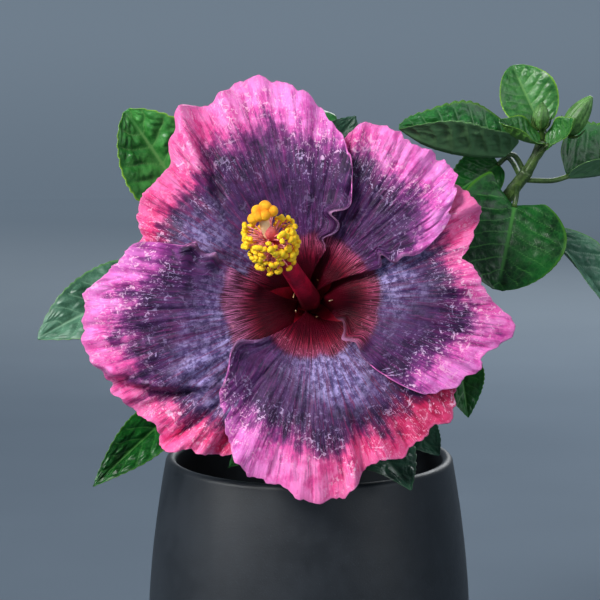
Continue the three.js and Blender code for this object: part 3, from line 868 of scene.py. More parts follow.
twigShapes = []
foliageGreens = [leafLooks["dark"], leafLooks["mid"], leafLooks["grey"]]
growing = np.random.default_rng(sprays["seed"])
for order, (name, bough) in enumerate(foliage.items()):
    twigs, specs = growMass(name, bough, growing)
    twigShapes += twigs
    made = [makeLeaf(spec, leafKinds["smallGrid"], 500 + 40 * order + k) for k, spec in enumerate(specs)]
    shape, owner = joined([m[0] for m in made])
    # the grey greens are painted shade, given here to about one crown leaf in five at random
    shades = growing.choice([0, 0, 1, 1, 2], len(made))  # one leaf in five is grey
    places = {key: np.concatenate([m[part] for m in made]) for part, key in ((1, "blade"), (2, "under"))}
    piece(name + "_leaves", shape, foliageGreens, [name], shades[owner], places)
piece("twigs", together(twigShapes), [barkFinish])
print("foliage grown")

# bloom
throat = np.array([0.0, -85.0, 267.0])
lookUp = math.radians(8)
bloomRight = np.array([1.0, 0.0, 0.0])
bloomUp = np.array([0.0, math.sin(lookUp), math.cos(lookUp)])
bloomOut = np.array([0.0, -math.cos(lookUp), math.sin(lookUp)])


def fromBloom(p):
    # points given across, up and out of the bloom's face, moved to the plant's frame
    return throat + p[..., :1] * bloomRight + p[..., 1:2] * bloomUp + p[..., 2:] * bloomOut


flower = {
    "base": 7,  # radius at which the petals begin
    "funnel": 28,  # depth of the throat
    "thickness": 0.75,
    "lift": 3.6,  # how far a petal's clockwise side stands above its other side
    "haze": 18,  # half-width of the ring of lavender bloom
    "rows": 112, "columns": 180,
}

# reach: margin distances from the axis at even angles, from the clockwise side to the other
# eye: where the dark middle ends
# lips: places on the clockwise margin given as radius, swing in degrees, rise and width in mm
# pink: share of the reach where the pink begins, at five even places from the clockwise side
# warm: how far the pink turns to crimson on that other side
# cool: how far it turns to orchid on the clockwise side, and from what place across
# lace: how pale the eye's border is
# haze: strength, place across, half-width across and radius of a petal's lavender bloom
# folds: sharp pleats that run to the margin, given as place across, half-width, depth in mm, start along
# the petal, and how far the pleat slants towards its inner end
petals = {
    "petal_upper_left": dict(
        fromAngle=67, toAngle=182, seed=1, eye=31, ruffle=4.2, warm=0.80, cool=(0.15, 0.6), lace=0.35,
        pink=(0.85, 0.77, 0.79, 0.86, 0.80), haze=(0.62, 0.50, 0.36, 58),
        reach=[50, 65, 76, 86, 94, 101, 106, 106, 105, 105, 106, 101, 92, 92, 93, 92, 86, 81, 73, 65, 54],
        lips=[(43, 9, 2.6, 3.4), (31, 8, 1.5, 3.6)],
        folds=[(-0.06, 0.05, 4.0, 0.5, 0.6), (0.42, 0.05, -1.6, 0.55, 0), (-0.22, 0.06, 1.2, 0.6, 0)],
    ),
    "petal_upper_right": dict(
        fromAngle=23, toAngle=125, seed=2, eye=31, ruffle=3.4, warm=0.55, cool=(0.0, 0.6), lace=0.35,
        pink=(0.76, 0.79, 0.84, 0.84, 0.86), haze=(0.20, 0.30, 0.60, 42),
        reach=[56, 70, 78, 86, 90, 90, 88, 88, 90, 88, 86, 76, 76, 75, 74, 72, 70, 67, 63, 58, 50],
        lips=[(40.5, 9, 1.6, 2.2), (49, 2, 4.4, 3.2)],
        folds=[(0.10, 0.05, 2.0, 0.6, 0), (-0.5, 0.06, 1.2, 0.6, 0)],
    ),
    "petal_right": dict(
        fromAngle=-47, toAngle=68, seed=3, eye=33, ruffle=3.8, warm=0.75, cool=(0.2, 0.6), lace=0.35,
        pink=(0.72, 0.77, 0.86, 0.60, 0.56), haze=(0.85, 0.30, 0.60, 46),
        reach=[44, 64, 73, 79, 83, 86, 93, 95, 86, 80, 78, 75, 84, 91, 91, 86, 80, 76, 71, 64, 54],
        lips=[(21, 6, 1.0, 2.6), (27, -7, 4.0, 2.6), (32, 3, 1.0, 3.0)],
        folds=[(-0.06, 0.06, -2.2, 0.55, 0), (0.28, 0.05, 2.6, 0.6, 0)],
    ),
    "petal_lower": dict(
        fromAngle=-142, toAngle=-14, seed=4, eye=27, ruffle=3.8, warm=1.20, cool=(1.0, 0.35), lace=0.3,
        pink=(0.75, 0.76, 0.79, 0.82, 0.82), haze=(0.95, 0.20, 0.50, 38),
        reach=[46, 58, 65, 72, 80, 87, 88, 89, 95, 95, 93, 83, 84, 86, 84, 84, 85, 81, 74, 66, 54],
        lips=[(40, -9, 1.5, 8.0)],
        folds=[(0.06, 0.03, -3.0, 0.62, 0), (0.66, 0.06, -1.8, 0.5, 0), (-0.62, 0.07, 1.8, 0.4, 0),
               (0.4, 0.05, 1.4, 0.6, 0)],
    ),
    "petal_left": dict(
        fromAngle=156, toAngle=262, seed=5, eye=41, ruffle=4.8, warm=0.95, cool=(0.9, 0.62), lace=1.0,
        pink=(0.77, 0.83, 0.87, 0.76, 0.69), haze=(1.0, 0.20, 0.62, 54),
        reach=[60, 83, 90, 95, 103, 105, 108, 106, 105, 102, 101, 98, 94, 100, 92, 88, 84, 79, 72, 65, 54],
        lips=[(50, -3, 2.4, 2.6), (60, -3, 2.0, 3.0)],
        folds=[(-0.36, 0.03, 2.0, 0.72, 0), (-0.19, 0.05, -3.4, 0.5, 1.1), (0.34, 0.045, 2.6, 0.45, 0.2),
               (0.05, 0.05, -2.0, 0.4, 0), (0.55, 0.05, -1.8, 0.4, 0)],
    ),
}


def flare(r):
    # height of the open bloom by distance from its axis: a funnel that decays outwards, less a fourth power
    # that bends the margin back
    funnel = -flower["funnel"] * np.exp(-(r - flower["base"]) / 11)
    return funnel + 7 * np.minimum(r / 60, 1) - 5 * (r / 100) ** 4


def petalGrids(spec):
    # a fan of rays from the claw to the margin, lifted on its clockwise side, ruffled and pleated
    u = np.linspace(0, 1, flower["rows"])[:, None] ** 0.85 + np.zeros((1, flower["columns"]))
    even = np.linspace(-1, 1, flower["columns"])[None] + 0 * u
    v = even * (1.12 - 0.12 * even**2)
    v = v / np.abs(v).max()
    seed = spec["seed"]
    middle = (spec["fromAngle"] + spec["toAngle"]) / 2
    half = (spec["toAngle"] - spec["fromAngle"]) / 2
    scallop = 1.4 * ripple(v * 14, 0 * v, seed + 20) + 1.1 * ripple(v * 33, 0 * v, seed + 21)
    scallop = scallop + 0.5 * ripple(v * 75, 0 * v, seed + 22)
    reach = sampled(np.array(spec["reach"], float), (v + 1) / 2)
    reach = reach + scallop * smoothStep(1 - np.abs(v), 0, 0.15)
    r = flower["base"] + (reach - flower["base"]) * u
    narrow = 1 - 0.55 * (1 - u) ** 3
    angle = middle + half * narrow * v
    lipShade = 0 * r
    for place, swing, _, width in spec["lips"]:
        angle = angle + smoothStep(-v, 0.74, 1.0) * bell(r, place, width * 0.8) * swing
    a = np.radians(angle)
    over = -np.tanh(2.5 * v)
    sway = 0.6 * ripple(v * 4.5 + 3, u * 0.8, seed + 30) + 0.4 * ripple(v * 9 + 5, u * 1.2, seed + 31)
    sway = np.clip(sway * 1.8, -1, 1)
    ruffle = spec["ruffle"] * smoothStep(u, 0.45, 1.0) ** 1.3
    height = ruffle * (sway * (1 - np.abs(over)) + over * (0.45 + 0.55 * sway))
    height = height + 1.1 * ruffle / 3 * ripple(v * 20, u * 2, seed + 32) * smoothStep(u, 0.75, 1)
    pleats = ripple(v * 26 + 0.8 * ripple(u * 4, v * 3, seed + 34), u * 2.2, seed + 33)
    pleats = pleats + 0.5 * ripple(v * 60, u * 3.2, seed + 35)
    height = height + 0.8 * pleats * smoothStep(u, 0.15, 0.6)
    height = height + 0.16 * ripple(v * 90, u * 30, seed + 36) * smoothStep(u, 0.1, 0.5)
    for place, width, depth, start, slant in spec["folds"]:
        s = (v - place - slant * (1 - u) + 0.02 * np.sin(u * 9 + seed)) / width
        height = height + 1.5 * depth * s * np.exp(0.5 - s**2 / 2) * smoothStep(u, start, start + 0.35)
    crease = (1 - np.abs(ripple(v * 17 + 0.7 * ripple(u * 5, v * 4, seed + 38), u * 1.6, seed + 37))) ** 5
    height = height - 1.5 * crease * smoothStep(u, 0.6, 0.95)
    side = smoothStep(-v, 0.72, 1.0) * smoothStep(r, 18, 30)
    height = height + side * (1.0 + 1.0 * np.sin(r * 0.55 + seed))
    for place, _, rise, width in spec["lips"]:
        local = smoothStep(-v, 0.86, 1.0) * bell(r, place, width)
        height = height + local * rise
        lipShade = lipShade + local * smoothStep(-v, 0.95, 0.99) * min(1, rise / 3)
    slope = flare(r + 0.5) - flare(r - 0.5)
    out = unit(np.stack([-slope * np.cos(a), -slope * np.sin(a), np.ones_like(a)], -1))
    lift = (2.4 + (flower["lift"] - 2.4) * np.minimum(r / 50, 1)) * -v
    place = np.stack([r * np.cos(a), r * np.sin(a), flare(r)], -1) + out * (lift + height)[..., None]
    normal = gridNormals(place)
    normal = normal * np.sign((normal * out).sum(-1, keepdims=True))
    fromMargin = np.minimum(1 - u, (1 - np.abs(v)) * 1.2)
    thick = flower["thickness"] * (0.55 + 0.45 * smoothStep(fromMargin, 0, 0.12))
    front = place + normal * (thick / 2)[..., None]
    back = place - normal * (thick / 2)[..., None]
    sector = np.radians(half) * narrow * v
    wide = np.maximum(reach, 0.86 * max(spec["reach"]) - 10 * smoothStep(np.abs(v), 0.85, 1.0))
    zone = np.stack([r / 100, sector, np.maximum(r / wide, u - 0.03 - 6 * (1 - u))], -1)
    eye = spec["eye"] * (1 + 0.04 * ripple(v * 5, 0 * v, seed + 40))
    pinkAt = sampled(np.array(spec["pink"]), (v + 1) / 2) + 0.03 * ripple(v * 4, 0 * v, seed + 41)
    tone = np.stack([eye / 100, pinkAt, np.minimum(spec["warm"] * smoothStep(v, -0.85, 0.95), 1)], -1)
    edge = np.maximum(smoothStep(np.abs(v), 0.975, 0.998), smoothStep(u, 0.975, 0.997))
    rim = np.stack([0 * r, edge, np.minimum(lipShade, 1)], -1)
    strength, across, spread, ring = spec["haze"]
    near = bell(r, spec["eye"] + 4, 13) * (0.15 + 0.85 * bell(v, across, spread * 1.3))
    veil = strength * np.maximum(near, bell(v, across, spread) * bell(r, ring, flower["haze"]))
    strength, start = spec["cool"]
    veil = np.stack([veil, 0 * r + spec["lace"], strength * smoothStep(-v, start, 0.95)], -1)
    flat = np.stack([r * np.sin(sector), r * np.cos(sector)], -1)
    return front, back, zone, tone, rim, veil, flat


def bakeMap(flat):
    # the front spread over the upper part of the map and the back, smaller, under it
    low, high = flat.reshape(-1, 2).min(0), flat.reshape(-1, 2).max(0)
    share = (flat - low) / (high - low)
    front = np.stack([0.01 + 0.98 * share[..., 0], 0.36 + 0.63 * share[..., 1]], -1)
    back = np.stack([0.01 + 0.50 * share[..., 0], 0.01 + 0.33 * share[..., 1]], -1)
    return np.concatenate([front.reshape(-1, 2), back.reshape(-1, 2)])


petalPinks = {  # across the petal: orchid side, middle, warm side and crimson end
    "deep": [(170, 54, 146), (200, 50, 130), (196, 30, 88), (148, 22, 62)],
    "rosy": [(224, 92, 186), (240, 80, 152), (236, 56, 124), (196, 32, 84)],
    "pale": [(244, 138, 220), (255, 130, 192), (250, 104, 166), (222, 66, 118)],
}
eyeReds = [(112, 0, 28), (86, 0, 22), (94, 0, 28), (166, 6, 44), (192, 48, 92)]  # from throat to border


def stops(places, shades):
    # a ramp's stops: each shade at its place
    return [(place, colour(*shade)) for place, shade in zip(places, shades)]


def petalLook(n):
    # plum, lavender haze, pink margin, pale flecks and the dark eye, laid over one another by their places
    zone, tone, here = n.attribute("zone"), n.attribute("tone"), n.place()
    radius, sector, share = n.split(zone)
    eye, pinkAt, lean = n.split(tone)
    under, edge, lip = n.split(n.attribute("rim"))
    veins = combed(n, zone, 30.0, 4.0, 1.0, 0.52, 0.66)
    fine = combed(n, zone, 100.0, 8.0, 4.0, 0.46, 0.62)
    cloud = n.noise(here, 48.0, 3.0, 0.6)
    patches = n.noise(here, 130.0, 4.0, 0.65)
    # plum body, hazed outside the eye, darkened along the veins and in patches
    veil, lacy, cool = n.split(n.attribute("veil"))
    haze = n.times(veil, n.step(cloud, 0.30, 0.56, 0.35, 1.0))
    body = n.mix(n.step(patches, 0.36, 0.64), colour(38, 15, 52), colour(76, 38, 90))
    marbled = n.step(n.noise(here, 380.0, 4.0, 0.7), 0.42, 0.60)
    marble = n.mix(marbled, colour(92, 78, 134), colour(182, 166, 224))
    body = n.mix(n.step(haze, 0.05, 0.90, 0.0, 0.90), body, marble)
    body = n.mix(n.times(veins["Lines"], 0.5), body, colour(42, 20, 56))
    body = n.mix(n.times(fine["Lines"], 0.3), body, colour(50, 30, 70))
    # wine, then pink towards the margin, the border wandering along the veins
    wander = n.plus(n.times(n.minus(veins["Raw"], 0.5), 0.26),
                    n.times(n.minus(patches, 0.5), 0.30))
    rise = n.plus(n.minus(share, pinkAt), wander)
    leans = (0.0, 0.45, 0.75, 1.0)
    deep, rosy, pale = (n.ramp(lean, stops(leans, petalPinks[key])) for key in ("deep", "rosy", "pale"))
    blotch = n.plus(n.noise(here, 150.0, 4.0, 0.68), n.times(rise, 0.9))
    blotch = n.plus(blotch, n.times(n.minus(veins["Raw"], 0.5), 0.5))
    pinkTint = n.mix(n.step(blotch, 0.28, 0.50), deep, n.mix(n.step(blotch, 0.48, 0.72), rosy, pale))
    pinkTint = n.mix(n.times(n.step(share, 0.955, 1.0), 0.5), pinkTint, rosy)
    pinkTint = n.mix(n.times(cool, 0.85), pinkTint, colour(172, 70, 160))
    wine = n.mix(lean, colour(120, 50, 122), colour(118, 26, 74))
    base = n.mix(n.step(rise, -0.10, 0.0), body, wine)
    base = n.mix(n.step(rise, -0.03, 0.06), base, pinkTint)
    thread = combed(n, zone, 64.0, 7.0, 7.0, 0.54, 0.62)["Lines"]
    darkVein = n.times(n.larger(n.times(veins["Lines"], 0.6), thread), n.step(rise, 0.30, 0.02))
    base = n.mix(n.times(darkVein, 0.55), base, n.mix(lean, colour(112, 36, 104), colour(130, 18, 58)))
    # pale flecks, thickest in the haze and where plum meets pink
    long = n.join(n.times(radius, 0.055), n.times(sector, n.times(radius, 0.1)), lean)
    marks = scattered(n, here, 200.0, 0.042, 0.55)
    streaky = scattered(n, long, 380.0, 0.060, 0.56)
    dots = scattered(n, here, 520.0, 0.080, 0.58)
    border = n.times(n.step(rise, -0.26, -0.06), n.step(rise, 0.36, 0.10))
    field = n.larger(n.times(haze, 0.9), border)
    field = n.larger(field, 0.22)
    field = n.times(field, n.step(n.noise(here, 40.0, 2.0), 0.36, 0.56, 0.2, 1.0))
    drawn = n.larger(n.larger(marks, streaky), n.times(dots, 0.7))
    fleckTint = n.mix(n.step(rise, -0.15, 0.05), colour(190, 170, 216), colour(255, 196, 226))
    base = n.mix(n.times(n.times(drawn, field), 0.85), base, fleckTint)
    # the dark eye: near black inside, crimson and then rose lace at its border, crossed by dark rays
    feather = n.times(n.minus(fine["Raw"], 0.5), 0.10)
    inside = n.minus(n.plus(eye, feather), radius)
    depth = n.math("DIVIDE", radius, eye)
    eyeTint = n.ramp(depth, stops((0.0, 0.34, 0.62, 0.84, 1.0), eyeReds))
    rose = n.mix(n.step(depth, 0.6, 1.0), colour(150, 36, 88), colour(216, 124, 176))
    eyeTint = n.mix(n.times(n.step(depth, 0.62, 0.92), lacy), eyeTint, rose)
    rays = n.times(n.step(fine["Raw"], 0.40, 0.54), n.step(depth, 0.35, 0.70, 0.3, 1.0))
    rayTint = n.ramp(depth, stops((0.4, 1.0), [(36, 0, 10), (50, 0, 20)]))
    eyeTint = n.mix(n.times(rays, 0.92), eyeTint, rayTint)
    dash = n.times(dots, n.step(depth, 0.7, 0.95))
    eyeTint = n.mix(n.times(dash, 0.5), eyeTint, colour(214, 130, 160))
    base = n.mix(n.step(inside, -0.022, 0.012), base, eyeTint)
    lipPlace = n.step(share, 0.6, 0.85)
    base = n.mix(n.times(n.times(edge, lipPlace), 0.28), base, colour(236, 150, 200))
    base = n.mix(n.times(lip, 0.6), base, colour(220, 156, 206))
    base = n.mix(n.times(under, n.step(radius, 0.1, 0.5, 0.1, 0.5)), base, colour(226, 150, 198))
    crepe = n.noise(here, 800.0, 2.0, 0.6)
    height = n.plus(n.times(veins["Raw"], 1.0), n.times(crepe, 0.25))
    height = n.plus(height, n.times(fine["Raw"], 0.5))
    height = n.plus(height, n.times(patches, 0.8))
    return {"Base Color": base, "Normal": n.bump(height, 0.6, 0.0011)}


petalFinish = finish("plum and pink petal", petalLook, Roughness=0.5, **{"Specular IOR Level": 0.22})
for name, spec in petals.items():
    front, back, zone, tone, rim, veil, flat = petalGrids(spec)
    shape = closedSheet(fromBloom(front), fromBloom(back))
    grids = {"zone": zone, "tone": tone, "rim": rim, "veil": veil}
    places = {key: np.concatenate([grid.reshape(-1, 3)] * 2) for key, grid in grids.items()}
    places["rim"][rim.shape[0] * rim.shape[1]:, 0] = 1
    piece(name + "_sheet", shape, [petalFinish], [name], places=places, uv=bakeMap(flat))


def makeThroat():
    # a dark cup that closes the funnel behind the petals' narrow feet
    r = np.linspace(0.5, 21, 30)
    z = flare(np.maximum(r, 4)) - 2.2 - 1.6 * smoothStep(r, 7, 14)
    outline = np.concatenate([np.stack([r, z], 1), np.stack([r[::-1], z[::-1] - 0.8], 1)])
    angle = turns(64)
    ring = np.stack([np.cos(angle), np.sin(angle), 0 * angle], 1)
    rings = outline[:, None, :1] * ring[None] + outline[:, None, 1:] * np.array([0, 0, 1])
    return closedTube(fromBloom(rings))


def makeHairs(rng):
    # a few short pale stray filaments curling up from the dark throat
    shapes = []
    for _ in range(11):
        turn, spread = rng.uniform(0, 2 * math.pi), rng.uniform(5, 12)
        foot = np.array([spread * math.cos(turn), spread * math.sin(turn), 0])
        foot[2] = flare(np.array(spread)) + 1.0
        bend = rng.normal(0, 1.0, 3)
        knots = [foot, foot + bend * 0.6 + [0, 0, 2.0], foot + bend * 1.6 + [0, 0, 3.4]]
        shapes.append(tube(fromBloom(smoothPath(knots, 7)), np.linspace(0.16, 0.3, 7), 6))
    return together(shapes)


throatLook = mottledLook(200.0, colour(150, 0, 34), colour(190, 8, 48), 0.3, 0.0003)
piece("petal_claws", makeThroat(), [finish("dark throat", throatLook, Roughness=0.5)])
print("petals made")

# column, anthers and stigma
column = {
    "path": [(0, 0, -25), (-1, 2, -8), (-5, 8, 14), (-11.5, 17.5, 35), (-17.6, 27, 50)],
    "radii": (5.4, 3.6),
    "rows": 70, "sides": 36,
    "headCentre": (-17.6, 26.6, 49.4),
    "headAxis": (-0.28, 0.59, 0.755),
    "anthers": 138,
    "antherSize": 1.28,
}


def makeColumn():
    # a tube with faint lengthwise ribs that ends in a rounded tip inside the head
    path = smoothPath(column["path"], column["rows"])
    share = np.linspace(0, 1, column["rows"])[:, None]
    angle = turns(column["sides"])[None]
    first, last = column["radii"]
    ribs = 1 + 0.035 * np.cos(5 * angle + share * 2)
    end = np.sqrt(np.clip((1.01 - share) / 0.06, 0.02, 1))
    return tube(fromBloom(path), (first + (last - first) * share) * ribs * end, column["sides"])


def makeHead(rng):
    # filaments spring from the column's end and each carries a kidney-shaped anther
    centre, axis = np.array(column["headCentre"]), unit(np.array(column["headAxis"]))
    across = unit(np.cross(axis, [0.2, 0.9, -0.3]))
    over = np.cross(across, axis)
    filaments, anthers = [], []
    for k in range(column["anthers"]):
        share = ((k + rng.uniform(0, 1)) / column["anthers"]) ** 0.9
        turn = golden * k + rng.uniform(-0.45, 0.45)
        level = -11.5 + 21.0 * share
        spread = 12.2 * math.sqrt(max(0.05, 1 - ((level - 0.5) / 15.5) ** 2)) * rng.uniform(0.80, 1.06)
        ray = across * math.cos(turn) + over * math.sin(turn)
        foot = centre + axis * (level * 0.72 - 2.5) + ray * 2.6
        end = centre + axis * level + ray * spread
        end[2] = end[2] + rng.uniform(-0.5, 0.5)
        if level < -8:
            end = end + np.array([0, -1.6, 0])
        bend = (foot + end) / 2 + axis * rng.uniform(0.3, 1.5)
        path = smoothPath([foot, bend, end], 7)
        filaments.append(tube(fromBloom(path), 0.3, 5))
        size = column["antherSize"] * rng.uniform(0.85, 1.15)
        tilt = unit(np.cross(ray, axis) + rng.normal(0, 0.35, 3))
        polar = np.linspace(0.15, math.pi - 0.15, 6)
        swing = np.cos(polar)[:, None]
        spine = end - swing * size * 1.25 * tilt + swing**2 * size * -0.5 * ray
        anthers.append(tube(fromBloom(spine), size * np.sin(polar) ** 0.8, 8, (0.2, 0.9, 0.4)))
    return filaments, anthers


stigmaPads = [  # place from the style's end, and radius
    (-5.0, -2.4, 0.4, 2.7), (-3.0, 1.2, -0.4, 2.9), (0.4, 2.8, 0.2, 3.1),
    (3.6, 1.0, 0.0, 2.7), (0.2, -0.8, 1.6, 2.7), (-2.4, -1.2, 1.4, 2.7),
]


def makeStigma(rng):
    # a pale style that leaves the column's tip, and rounded pads crowded at its end
    centre, axis = np.array(column["headCentre"]), unit(np.array(column["headAxis"]))
    tip = centre + axis * 8
    end = np.array([-20.6, 38.5, 60.0])
    path = smoothPath([tip - axis * 4, tip + [-0.6, 2.5, 2.0], end + [-0.4, -1.0, -1.5]], 20)
    style = tube(fromBloom(path), 2.3 * np.sqrt(np.clip(np.linspace(1.02, -0.1, 20) * 5, 0.05, 1)), 14)
    pads = []
    for x, y, z, size in stigmaPads:
        middle = fromBloom(end + np.array([x, y, z]))
        pads.append(ball(middle, rng.normal(size=3), (size, size * 0.92), 9, 14))
    return style, pads


def columnLook(n):
    # crimson, with painted shade that darkens it towards the foot, where it sinks into the throat, by the
    # place along the column
    skin = mottled(n, n.place(), 90.0, colour(122, 0, 30), colour(196, 6, 50))
    # painted shade: the colour darkens towards the column's foot
    shade = n.step(n.split(n.attribute("along"))[0], 0.54, 0.34, 0.0, 0.75)
    base = n.mix(shade, skin["Color"], colour(58, 0, 16))
    return {"Base Color": base, "Normal": n.bump(skin["Fine"], 0.2, 0.0002)}


def powderFinish(name, dark, light, scale, roughness):
    # a soft powdery surface in two close colours
    return finish(name, mottledLook(scale, dark, light, 0.5, 0.0002), Roughness=roughness)


columnFinish = finish("crimson column", columnLook, Roughness=0.5, **{"Specular IOR Level": 0.25})
antherFinish = powderFinish("yellow pollen", colour(255, 188, 4), colour(255, 226, 36), 420.0, 0.75)
filamentFinish = powderFinish("pink filament", colour(226, 92, 110), colour(255, 176, 170), 200.0, 0.4)
tipFinish = powderFinish("coral tip", colour(206, 54, 78), colour(244, 122, 120), 200.0, 0.4)
stigmaFinish = powderFinish("orange stigma", colour(250, 140, 4), colour(255, 188, 24), 300.0, 0.8)
styleFinish = powderFinish("cream style", colour(240, 176, 110), colour(250, 214, 170), 120.0, 0.45)

rings = np.repeat(np.linspace(0, 1, column["rows"]), column["sides"])
along = np.concatenate([rings, [0, 1]])
piece("staminal_column_tube", makeColumn(), [columnFinish], ["staminal_column"],
      places={"along": np.stack([along, along, along], 1)})
headRng = np.random.default_rng(23)
filamentShapes, antherShapes = makeHead(headRng)
piece("anthers", together(antherShapes), [antherFinish], ["anther_head"])
piece("throat_hairs", makeHairs(headRng), [styleFinish])
piece("filaments", together(filamentShapes), [filamentFinish])
styleShape, padShapes = makeStigma(headRng)
piece("stigma_pads", together(padShapes), [stigmaFinish], ["stigma"])
piece("style", styleShape, [styleFinish])
tipAxis = unit(np.array(column["headAxis"]))
tipAt = fromBloom(np.array(column["headCentre"]) + tipAxis * 6.5 + [1.6, -0.6, 0])
piece("column_tip", ball(tipAt, fromBloom(tipAxis) - throat, (2.7, 4.8), 10, 16), [tipFinish])
print("column and anthers made")


# calyx and buds
calyx = {"bottom": -48.6, "top": -30, "lobe": 11.5, "neck": 2.6, "swell": 15.6, "wall": 0.7}


def makeCalyx():
    # a cup that opens into five pointed lobes behind the petals
    share = np.linspace(0, 1, 40)[:, None]
    angle = turns(100)[None]
    lobe = 0.5 + 0.5 * np.cos(5 * angle)
    top = calyx["top"] + calyx["lobe"] * lobe**0.8
    z = calyx["bottom"] + (top - calyx["bottom"]) * share
    ribs = 0.35 * np.cos(25 * angle) * share
    radius = calyx["neck"] + calyx["swell"] * smoothStep(share, 0, 1.25) ** 0.8 + ribs
    radius = radius * (0.78 + 0.22 * np.cos((1 - share) * 1.3)) + 0 * angle
    outer = np.stack([radius * np.cos(angle), radius * np.sin(angle), z], -1)
    hollow = radius - calyx["wall"]
    inner = np.stack([hollow * np.cos(angle), hollow * np.sin(angle), z + 0.3], -1)
    return closedTube(fromBloom(np.concatenate([outer, inner[::-1][:-9]])))


def makeBud(base, tip, width, seed):
    # five sepals pressed together: ribs at their middles, grooves where they meet, a drawn-out point
    base, tip = np.asarray(base, float), np.asarray(tip, float)
    share = np.linspace(0.0, 1, 44)[:, None]
    angle = turns(60)[None]
    swell = np.sin(math.pi * np.clip(share, 0.0, 0.985) ** 0.78) ** 0.7 * (1 - 0.12 * share)
    groove = np.abs(np.cos(2.5 * angle)) ** 0.35
    rib = bell((angle * 5 / (2 * math.pi) + 0.5) % 1.0, 0.5, 0.09)
    radius = width * (0.10 + swell * (0.86 + 0.14 * groove + 0.05 * rib))
    radius = radius * (1 + 0.02 * ripple(angle * 4, share * 9, seed))
    path = smoothPath([base, base * 0.5 + tip * 0.5 + [0, 0, 0.6], tip], 44)
    return tube(path, radius, 60, (0.9, 0.3, 0.1))


def makeBracts(base, tip, width, count):
    # narrow green bracts that stand round the foot of a bud
    base, way = np.asarray(base, float), unit(np.subtract(tip, base))
    across = unit(np.cross(way, [0.3, 0.9, 0.1]))
    over = np.cross(across, way)
    shapes = []
    for k in range(count):
        a = 2 * math.pi * k / count
        ray = across * math.cos(a) + over * math.sin(a)
        bends = ((0.35, 0), (1.05, 2.4), (1.3, 7.0))  # out from the bud's axis, and up along it
        path = smoothPath([base + ray * width * out + way * rise for out, rise in bends], 9)
        shapes.append(tube(path, np.linspace(0.75, 0.18, 9), 6))
    return shapes


sepalLook = mottledLook(160.0, colour(46, 88, 32), colour(98, 146, 74), 0.3, 0.0003)
sepalFinish = finish("ribbed green sepal", sepalLook, Roughness=0.45)
piece("calyx_cup", makeCalyx(), [sepalFinish], ["calyx"])
buds = {  # base, tip and half-width
    "bud_round": ((112.5, -33.5, 343.5), (113, -35, 357), 4.0),
    "bud_pointed": ((125, -34, 341), (136.5, -38, 360), 5.4),
}
budStalks = []
foot = np.array([113.0, -29.5, 338.0])  # where both bud stalks spring from the shoot
for order, (name, (base, tip, width)) in enumerate(buds.items()):
    piece(name + "_sepals", makeBud(base, tip, width, order), [sepalFinish], [name])
    budStalks += makeBracts(base, tip, width, 7)
    knots = [foot, (foot + base) / 2 + [1, 0, -0.5], np.asarray(base, float) + [0, 0, 0.8]]
    budStalks.append(tube(smoothPath(knots, 12), 1.3, 10))
piece("bud_stalks", together(budStalks), [greenStemFinish])
print("buds made")


# stage
stage = {
    "radius": 3.2, "wallRadius": 4.85, "wallHeight": 6.0, "bend": 1.6,
    "drop": 0.0005,  # the floor lies this far under the pot
    "sky": (150, 166, 182), "skyStrength": 0.6,
}


def stageRing(name, profile, look):
    # a wide disc or ring turned from a profile of (radius, height) in metres
    angle, segments = turns(96), 96
    radius, height = profile[:, :1], profile[:, 1:]
    rings = np.stack([radius * np.cos(angle), radius * np.sin(angle), height + 0 * angle], -1)
    mesh = bpy.data.meshes.new(name)
    mesh.from_pydata(rings.reshape(-1, 3).tolist(), [], gridQuads(len(profile), segments, True).tolist())
    mesh.polygons.foreach_set("use_smooth", np.ones(len(mesh.polygons), bool))
    mesh.materials.append(look)
    made = bpy.data.objects.new(name, mesh)
    bpy.context.scene.collection.objects.link(made)
    return made


def backdropLook(n):
    # pale grey, lighter far from the pot and lighter still where it rises: painted light that makes up for
    # the lamps' light falling off with distance and brightens the backdrop towards its top
    here = n.place()
    away = n.add("ShaderNodeVectorMath", {0: here}, operation="LENGTH").outputs["Value"]
    # painted light: the colour lightens with height and with distance from the pot
    raised = n.step(n.split(here)[2], 0.0, 0.3, 0.0, 0.15)
    far = n.plus(n.step(away, 0.9, stage["radius"], 0.0, 0.85), raised)
    skin = mottled(n, here, 0.6, colour(86, 99, 112), colour(94, 107, 120))
    return {"Base Color": n.mix(far, skin["Color"], colour(204, 214, 222))}


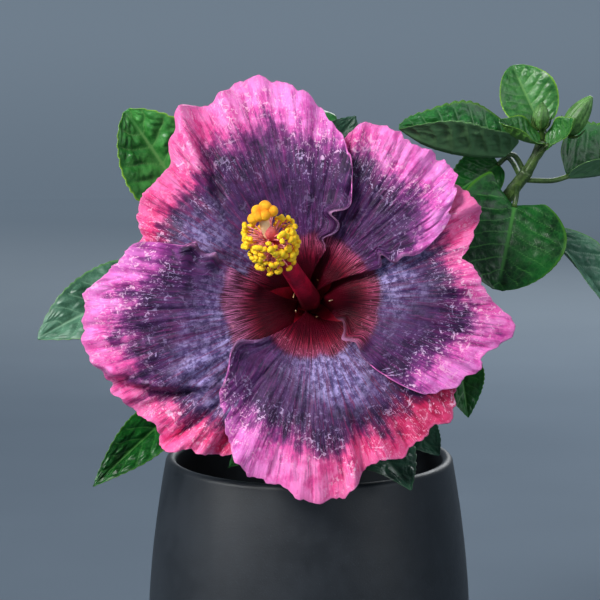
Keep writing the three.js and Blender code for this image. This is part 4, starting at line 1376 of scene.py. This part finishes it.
backdropFinish = finish("pale backdrop", backdropLook, Roughness=0.95)
floor = np.array([[0.0001, -stage["drop"]], [0.5, -stage["drop"]], [stage["radius"], -stage["drop"]]])
stageRing("floor", floor, backdropFinish)
turn = np.radians(np.linspace(0, 88, 16))
outwards, upwards = stage["bend"] * np.sin(turn), stage["bend"] - stage["bend"] * np.cos(turn)
curve = np.stack([stage["radius"] + outwards, upwards - stage["drop"]], 1)
wallTop = [[stage["wallRadius"], stage["wallHeight"]]]
wall = stageRing("wall", np.concatenate([curve, wallTop]), backdropFinish)
wall.visible_shadow = wall.visible_diffuse = wall.visible_glossy = False

world = bpy.data.worlds.new("soft sky")
bpy.context.scene.world = world
world.use_nodes = True
background = world.node_tree.nodes["Background"].inputs
background["Color"].default_value = colour(*stage["sky"])
background["Strength"].default_value = stage["skyStrength"]

centre = (0, -0.05, 0.25)
lights = {  # place, what it is aimed at, size in metres, power in watts, colour and spread in degrees
    "key": ((-1.1, -1.5, 1.5), centre, 0.6, 40, (1.0, 0.98, 0.96), 180),
    "strip": ((-1.7, -0.8, 0.8), (0, 0, 0.2), 0.4, 1.0, (0.97, 0.99, 1.0), 40),
    "fill": ((1.5, -1.2, 0.8), centre, 1.2, 3.1, (0.92, 0.96, 1.0), 100),
    "back": ((0.6, 1.5, 1.3), centre, 1.0, 22, (0.95, 0.98, 1.0), 180),
}
for name, (place, target, size, power, tone, spread) in lights.items():
    data = bpy.data.lights.new(name, "AREA")
    data.size, data.energy, data.color, data.spread = size, power, tone, math.radians(spread)
    lamp = bpy.data.objects.new(name, data)
    lamp.location = place
    lamp.rotation_mode = "QUATERNION"
    lamp.rotation_quaternion = Vector(np.subtract(target, place)).to_track_quat("-Z", "Y")
    lamp.visible_camera = False
    bpy.context.scene.collection.objects.link(lamp)

# the camera looks straight at the open bloom, which faces slightly upward
scene = bpy.context.scene
distance, lens, aside = 1.1, 140.4, -0.0047  # metres, millimetres, metres
eye = (throat + bloomOut * distance / mm) * mm + np.array([aside, 0, 0])
cameraData = bpy.data.cameras.new("camera")
cameraData.lens = lens
camera = bpy.data.objects.new("camera", cameraData)
camera.location = eye
camera.rotation_euler = (math.radians(90) - lookUp, 0, 0)
scene.collection.objects.link(camera)
scene.camera = camera
scene.view_settings.view_transform = "Standard"
print("stage set")
